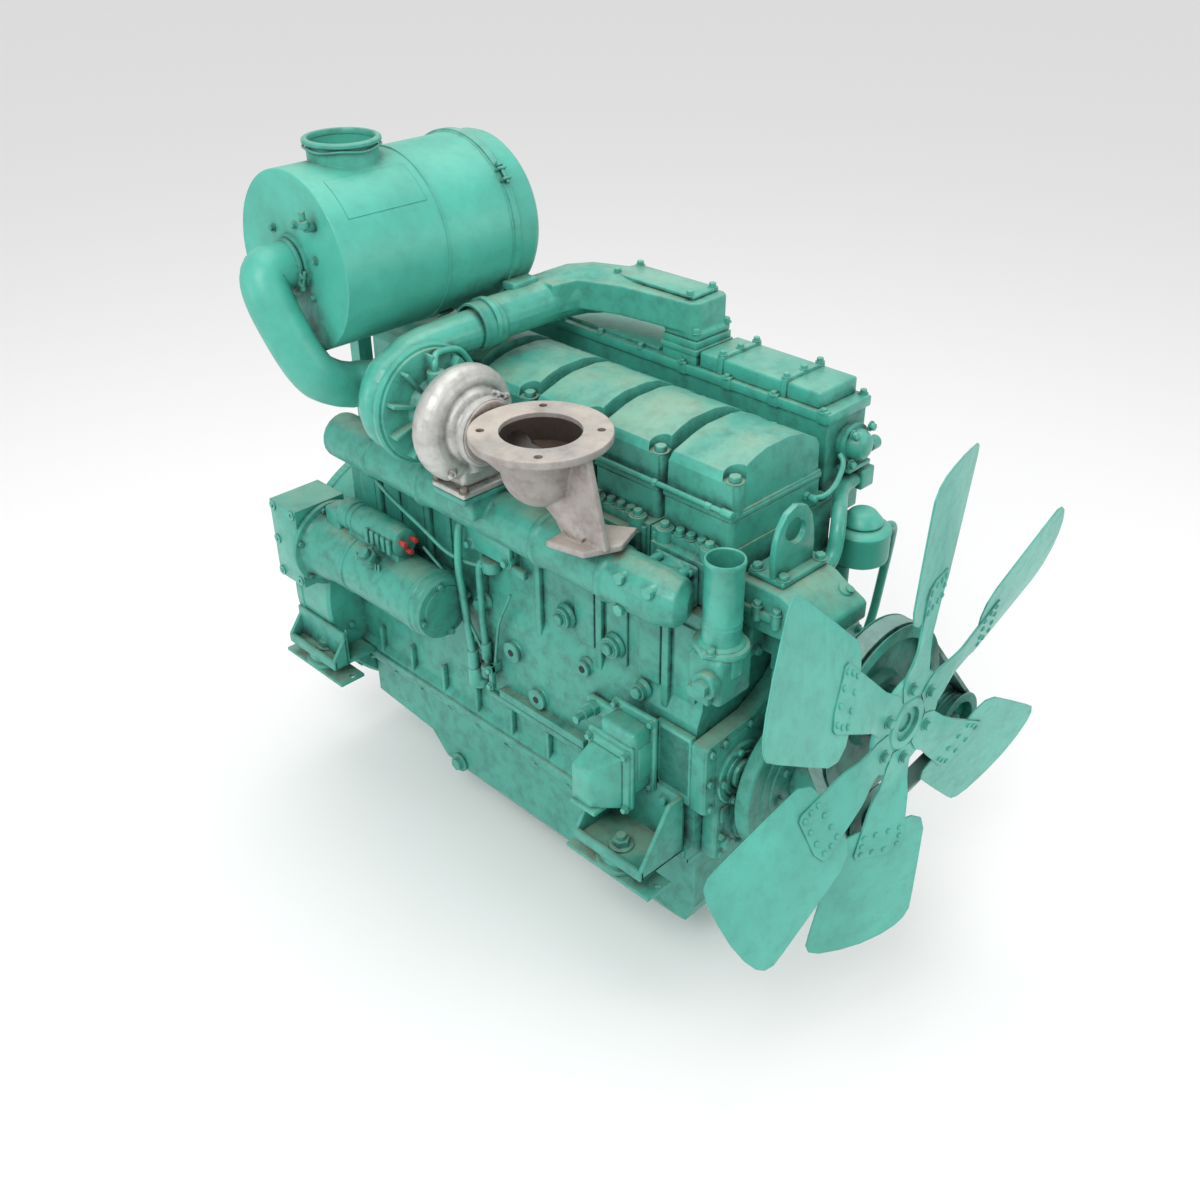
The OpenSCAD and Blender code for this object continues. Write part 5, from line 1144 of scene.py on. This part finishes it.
def thermostat():
    """Thermostat housing and the lifting eye."""
    side = [(-1397, 440), (-1397, 538), (-1404, 545), (-1510, 545), (-1528, 541), (-1560, 522), (-1602, 503),
            (-1609, 496), (-1609, 460), (-1600, 452), (-1500, 440)]
    body = prism(side, 175, (-140, 0, 0), REAR, UP, bev=7, seg=3)
    fl = prism([(-1396, 478), (-1396, 495), (-1521, 495), (-1521, 478)], 195, (-150, 0, 0), REAR, UP, bev=3)
    lugs = [drum((x, y, 470), 11, 34, bev=2) for y in (-1412, -1462, -1512) for x in (-144, 39)]
    boss = [drum((-120, -1560, 506), 16, 20, (0, -0.5, 0.86), bev=2), drum((10, -1560, 506), 16, 20,
            (0, -0.5, 0.86), bev=2)]
    done(join([body, fl, *lugs, *boss]), "thermostat_body", "green_dusty", replaces=("thermostat_housing",))
    studs("thermostat_bolts", [((x, y, 504), UP) for y in (-1412, -1462, -1512) for x in (-144, 39)]
            + [((-128, -1572, 514), (0, -0.5, 0.86)), ((16, -1572, 514), (0, -0.5, 0.86))], 10, 10, "green")
    plate = prism([(-116, 556), (-122, 600), (-118, 640), (-108, 672), (-88, 698), (-56, 709), (-24, 698),
            (-4, 672), (6, 640), (12, 600), (9, 556)], 14, (0, -1466, 0), bev=2, seg=2)
    boolean(plate, [lathe([(0, -20), (26, -20), (26, 20), (0, 20), (0, -20)], (-64, -1473, 656), REAR),
            lathe([(0, -20), (26, -20), (26, 20), (0, 20), (0, -20)], (-48, -1473, 644), REAR)])
    base = block((-118, -1504, 546), (36, -1410, 560), 4, 3)
    web = prism([(-1480, 558), (-1466, 600), (-1466, 558)], 90, (-100, 0, 0), REAR, UP, bev=0)
    done(join([plate, base, web]), "lifting_eye_plate", "green", replaces=("lifting_eye",))
    studs("lifting_eye_bolts", [((-102, -1424, 560), UP), ((20, -1424, 560), UP), ((-102, -1492, 560), UP),
            ((20, -1492, 560), UP)], 12, 10, "green")

def filler():
    """Filler can, neck and cap."""
    can = lathe([(0, 0), (58, 0), (64, 4), (65, 10), (65, 66), (66, 68), (66, 74), (64, 77), (60, 80), (46, 86),
            (0, 86)], (212, -1462, 470), UP, 72)
    done(can, "filler_can_shell", "green_clean", replaces=("filler_can",))
    neck = [drum((212, -1418, 326), 20, 148, bev=2), block((186, -1450, 440), (240, -1398, 476), 8, 3),
            drum((276, -1462, 505), 14, 14, RIGHT, seg=6), drum((262, -1462, 505), 12, 20, RIGHT)]
    done(join(neck), "filler_neck", "green_worn")
    cap = lathe([(0, 0), (44, 0), (46, 3), (45, 8), (30, 26), (24, 30), (0, 31)], (212, -1462, 558), UP, 48)
    done(cap, "filler_cap_cone", "green_clean", "cap_body", replaces=("filler_cap",))

def belt_rim(r):
    """Outline of a rim with five belt grooves of radius r between two raised lips."""
    grooves = [q for k in range(5) for q in ((r, 10 * k - 23), (r - 6, 10 * k - 18))]
    return [(r + 10, -30), (r + 11, -28), (r + 1, -24), *grooves, (r + 1, 22), (r + 11, 26), (r + 10, 28)]

def front_drive():
    """Fan bracket, the three pulleys, the crank's damper and the water pump."""
    br = [block((-110, -1426, 335), (110, -1396, 436), 7, 3), lathe([(35.3, 0), (62, 0), (66, 4), (66, 180),
            (60, 186), (35.3, 186), (35.3, 0)], (0, -1448, 280), FRONT)]
    for x in (-60, 0, 60):
        br.append(prism([(-1416, 337), (-1416, 434), (-1470, 420), (-1560, 340 if x else 352), (-1560, 300),
                (-1448, 300), (-1448, 337)], 16, (x - 8, 0, 0), REAR, UP, bev=3))
    done(join(br), "fan_bracket_casting", "green_worn", replaces=("fan_bracket",))
    studs("fan_bracket_bolts", grid((-92, 92), (-1426,), (352, 420), FRONT), 11, 11, "green_worn")
    crank = lathe([(38.2, -30), *belt_rim(66), (38.2, 28), (38.2, -30)], (0, PULLEY_Y, 0), FRONT, 72)
    damper = lathe([(58, 0), (120, 0), (120, 4), (146, 4), (150, 12), (176, 12), (180, 4), (196, 4), (200, 8),
            (200, 40), (196, 44), (182, 44), (180, 40), (150, 40), (146, 44), (124, 44), (120, 48), (58, 48),
            (58, 0)], (0, -1470.3, 0), FRONT, 96)
    hub = drum((0, -1518, 0), 57, 130, FRONT)
    done(join([crank, damper, hub]), "crank_pulley_turned", "green_worn", "crank_body",
            replaces=("crank_pulley",))
    studs("damper_bolts", ring_places((0, -1518, 0), 96, 8, FRONT, 10, 0), 10, 9, "green_worn", "crank_body")
    done(drum((0, -1704, 0), 30, 8, FRONT, seg=6), "crank_nose_bolt", "steel", "crank_body")
    fan_p = lathe([(60, -30), *belt_rim(190), (170, 28), (166, 4), (90, 0), (80, 20), (60, 20), (60, -30)],
                  (0, PULLEY_Y, FAN_Z), FRONT, 96)
    done(fan_p, "fan_pulley_turned", "green_worn", "fan_body", replaces=("fan_pulley",))
    pump_p = lathe([(20, -30), *belt_rim(76), (64, 28), (60, 8), (30, 8), (26, 20), (0, 20), (0, -30),
            (20, -30)], (PUMP_X, PULLEY_Y, PUMP_Z), FRONT, 72)
    done(pump_p, "pump_pulley_turned", "green_worn", "pump_rotor_body", replaces=("pump_rotor",))
    wp = lathe([(20.2, 0), (92, 0), (92, 8), (88, 12), (88, 80), (92, 84), (92, 96), (86, 108), (60, 118),
            (48, 124), (46, 130), (46, 190), (42, 194), (20.2, 194), (20.2, 0)], (330, -1442, 60), FRONT, 72)
    inlet_ = [drum((364, -1506, -90), 36, 120), drum((364, -1506, -90), 41, 9, bev=2),
            block((216, -1447, -58), (330, -1397, 4), 6)]
    done(join([wp, *inlet_]), "water_pump_casting", "green_worn", replaces=("water_pump",))
    studs("water_pump_bolts", ring_places((330, -1538, 60), 80, 8, FRONT, 10, 0), 8, 8, "green_worn")

def right_side():
    """Oil filters and the filter bracket's bolts."""
    caps = []
    for i in range(3):
        y = -820 - i * 130
        caps.append(lathe([(0, -58), (40, -58), (46, -54), (46, -46), (53, -42), (55, -36), (55, 150),
                (58, 156), (58, 169), (0, 169), (0, -58)], (300, y, 0), UP, 64))
    head = block((240.5, -1140, 170), (358, -760, 200), 8, 3)
    done(join([*caps, head]), "oil_filter_cans", "green_worn", replaces=("oil_filters",))
    studs("oil_filter_head_bolts", grid((254, 344), (-1126, -952, -774), (200,)), 10, 10, "green_worn")
    studs("bracket_bolts", grid((-140, -40), (-114,), (420, 560, 860), REAR), 11, 11, "green_worn")

gear_front()
side_pump()
feet()
block_side()
pipes()
thermostat()
filler()
front_drive()
right_side()
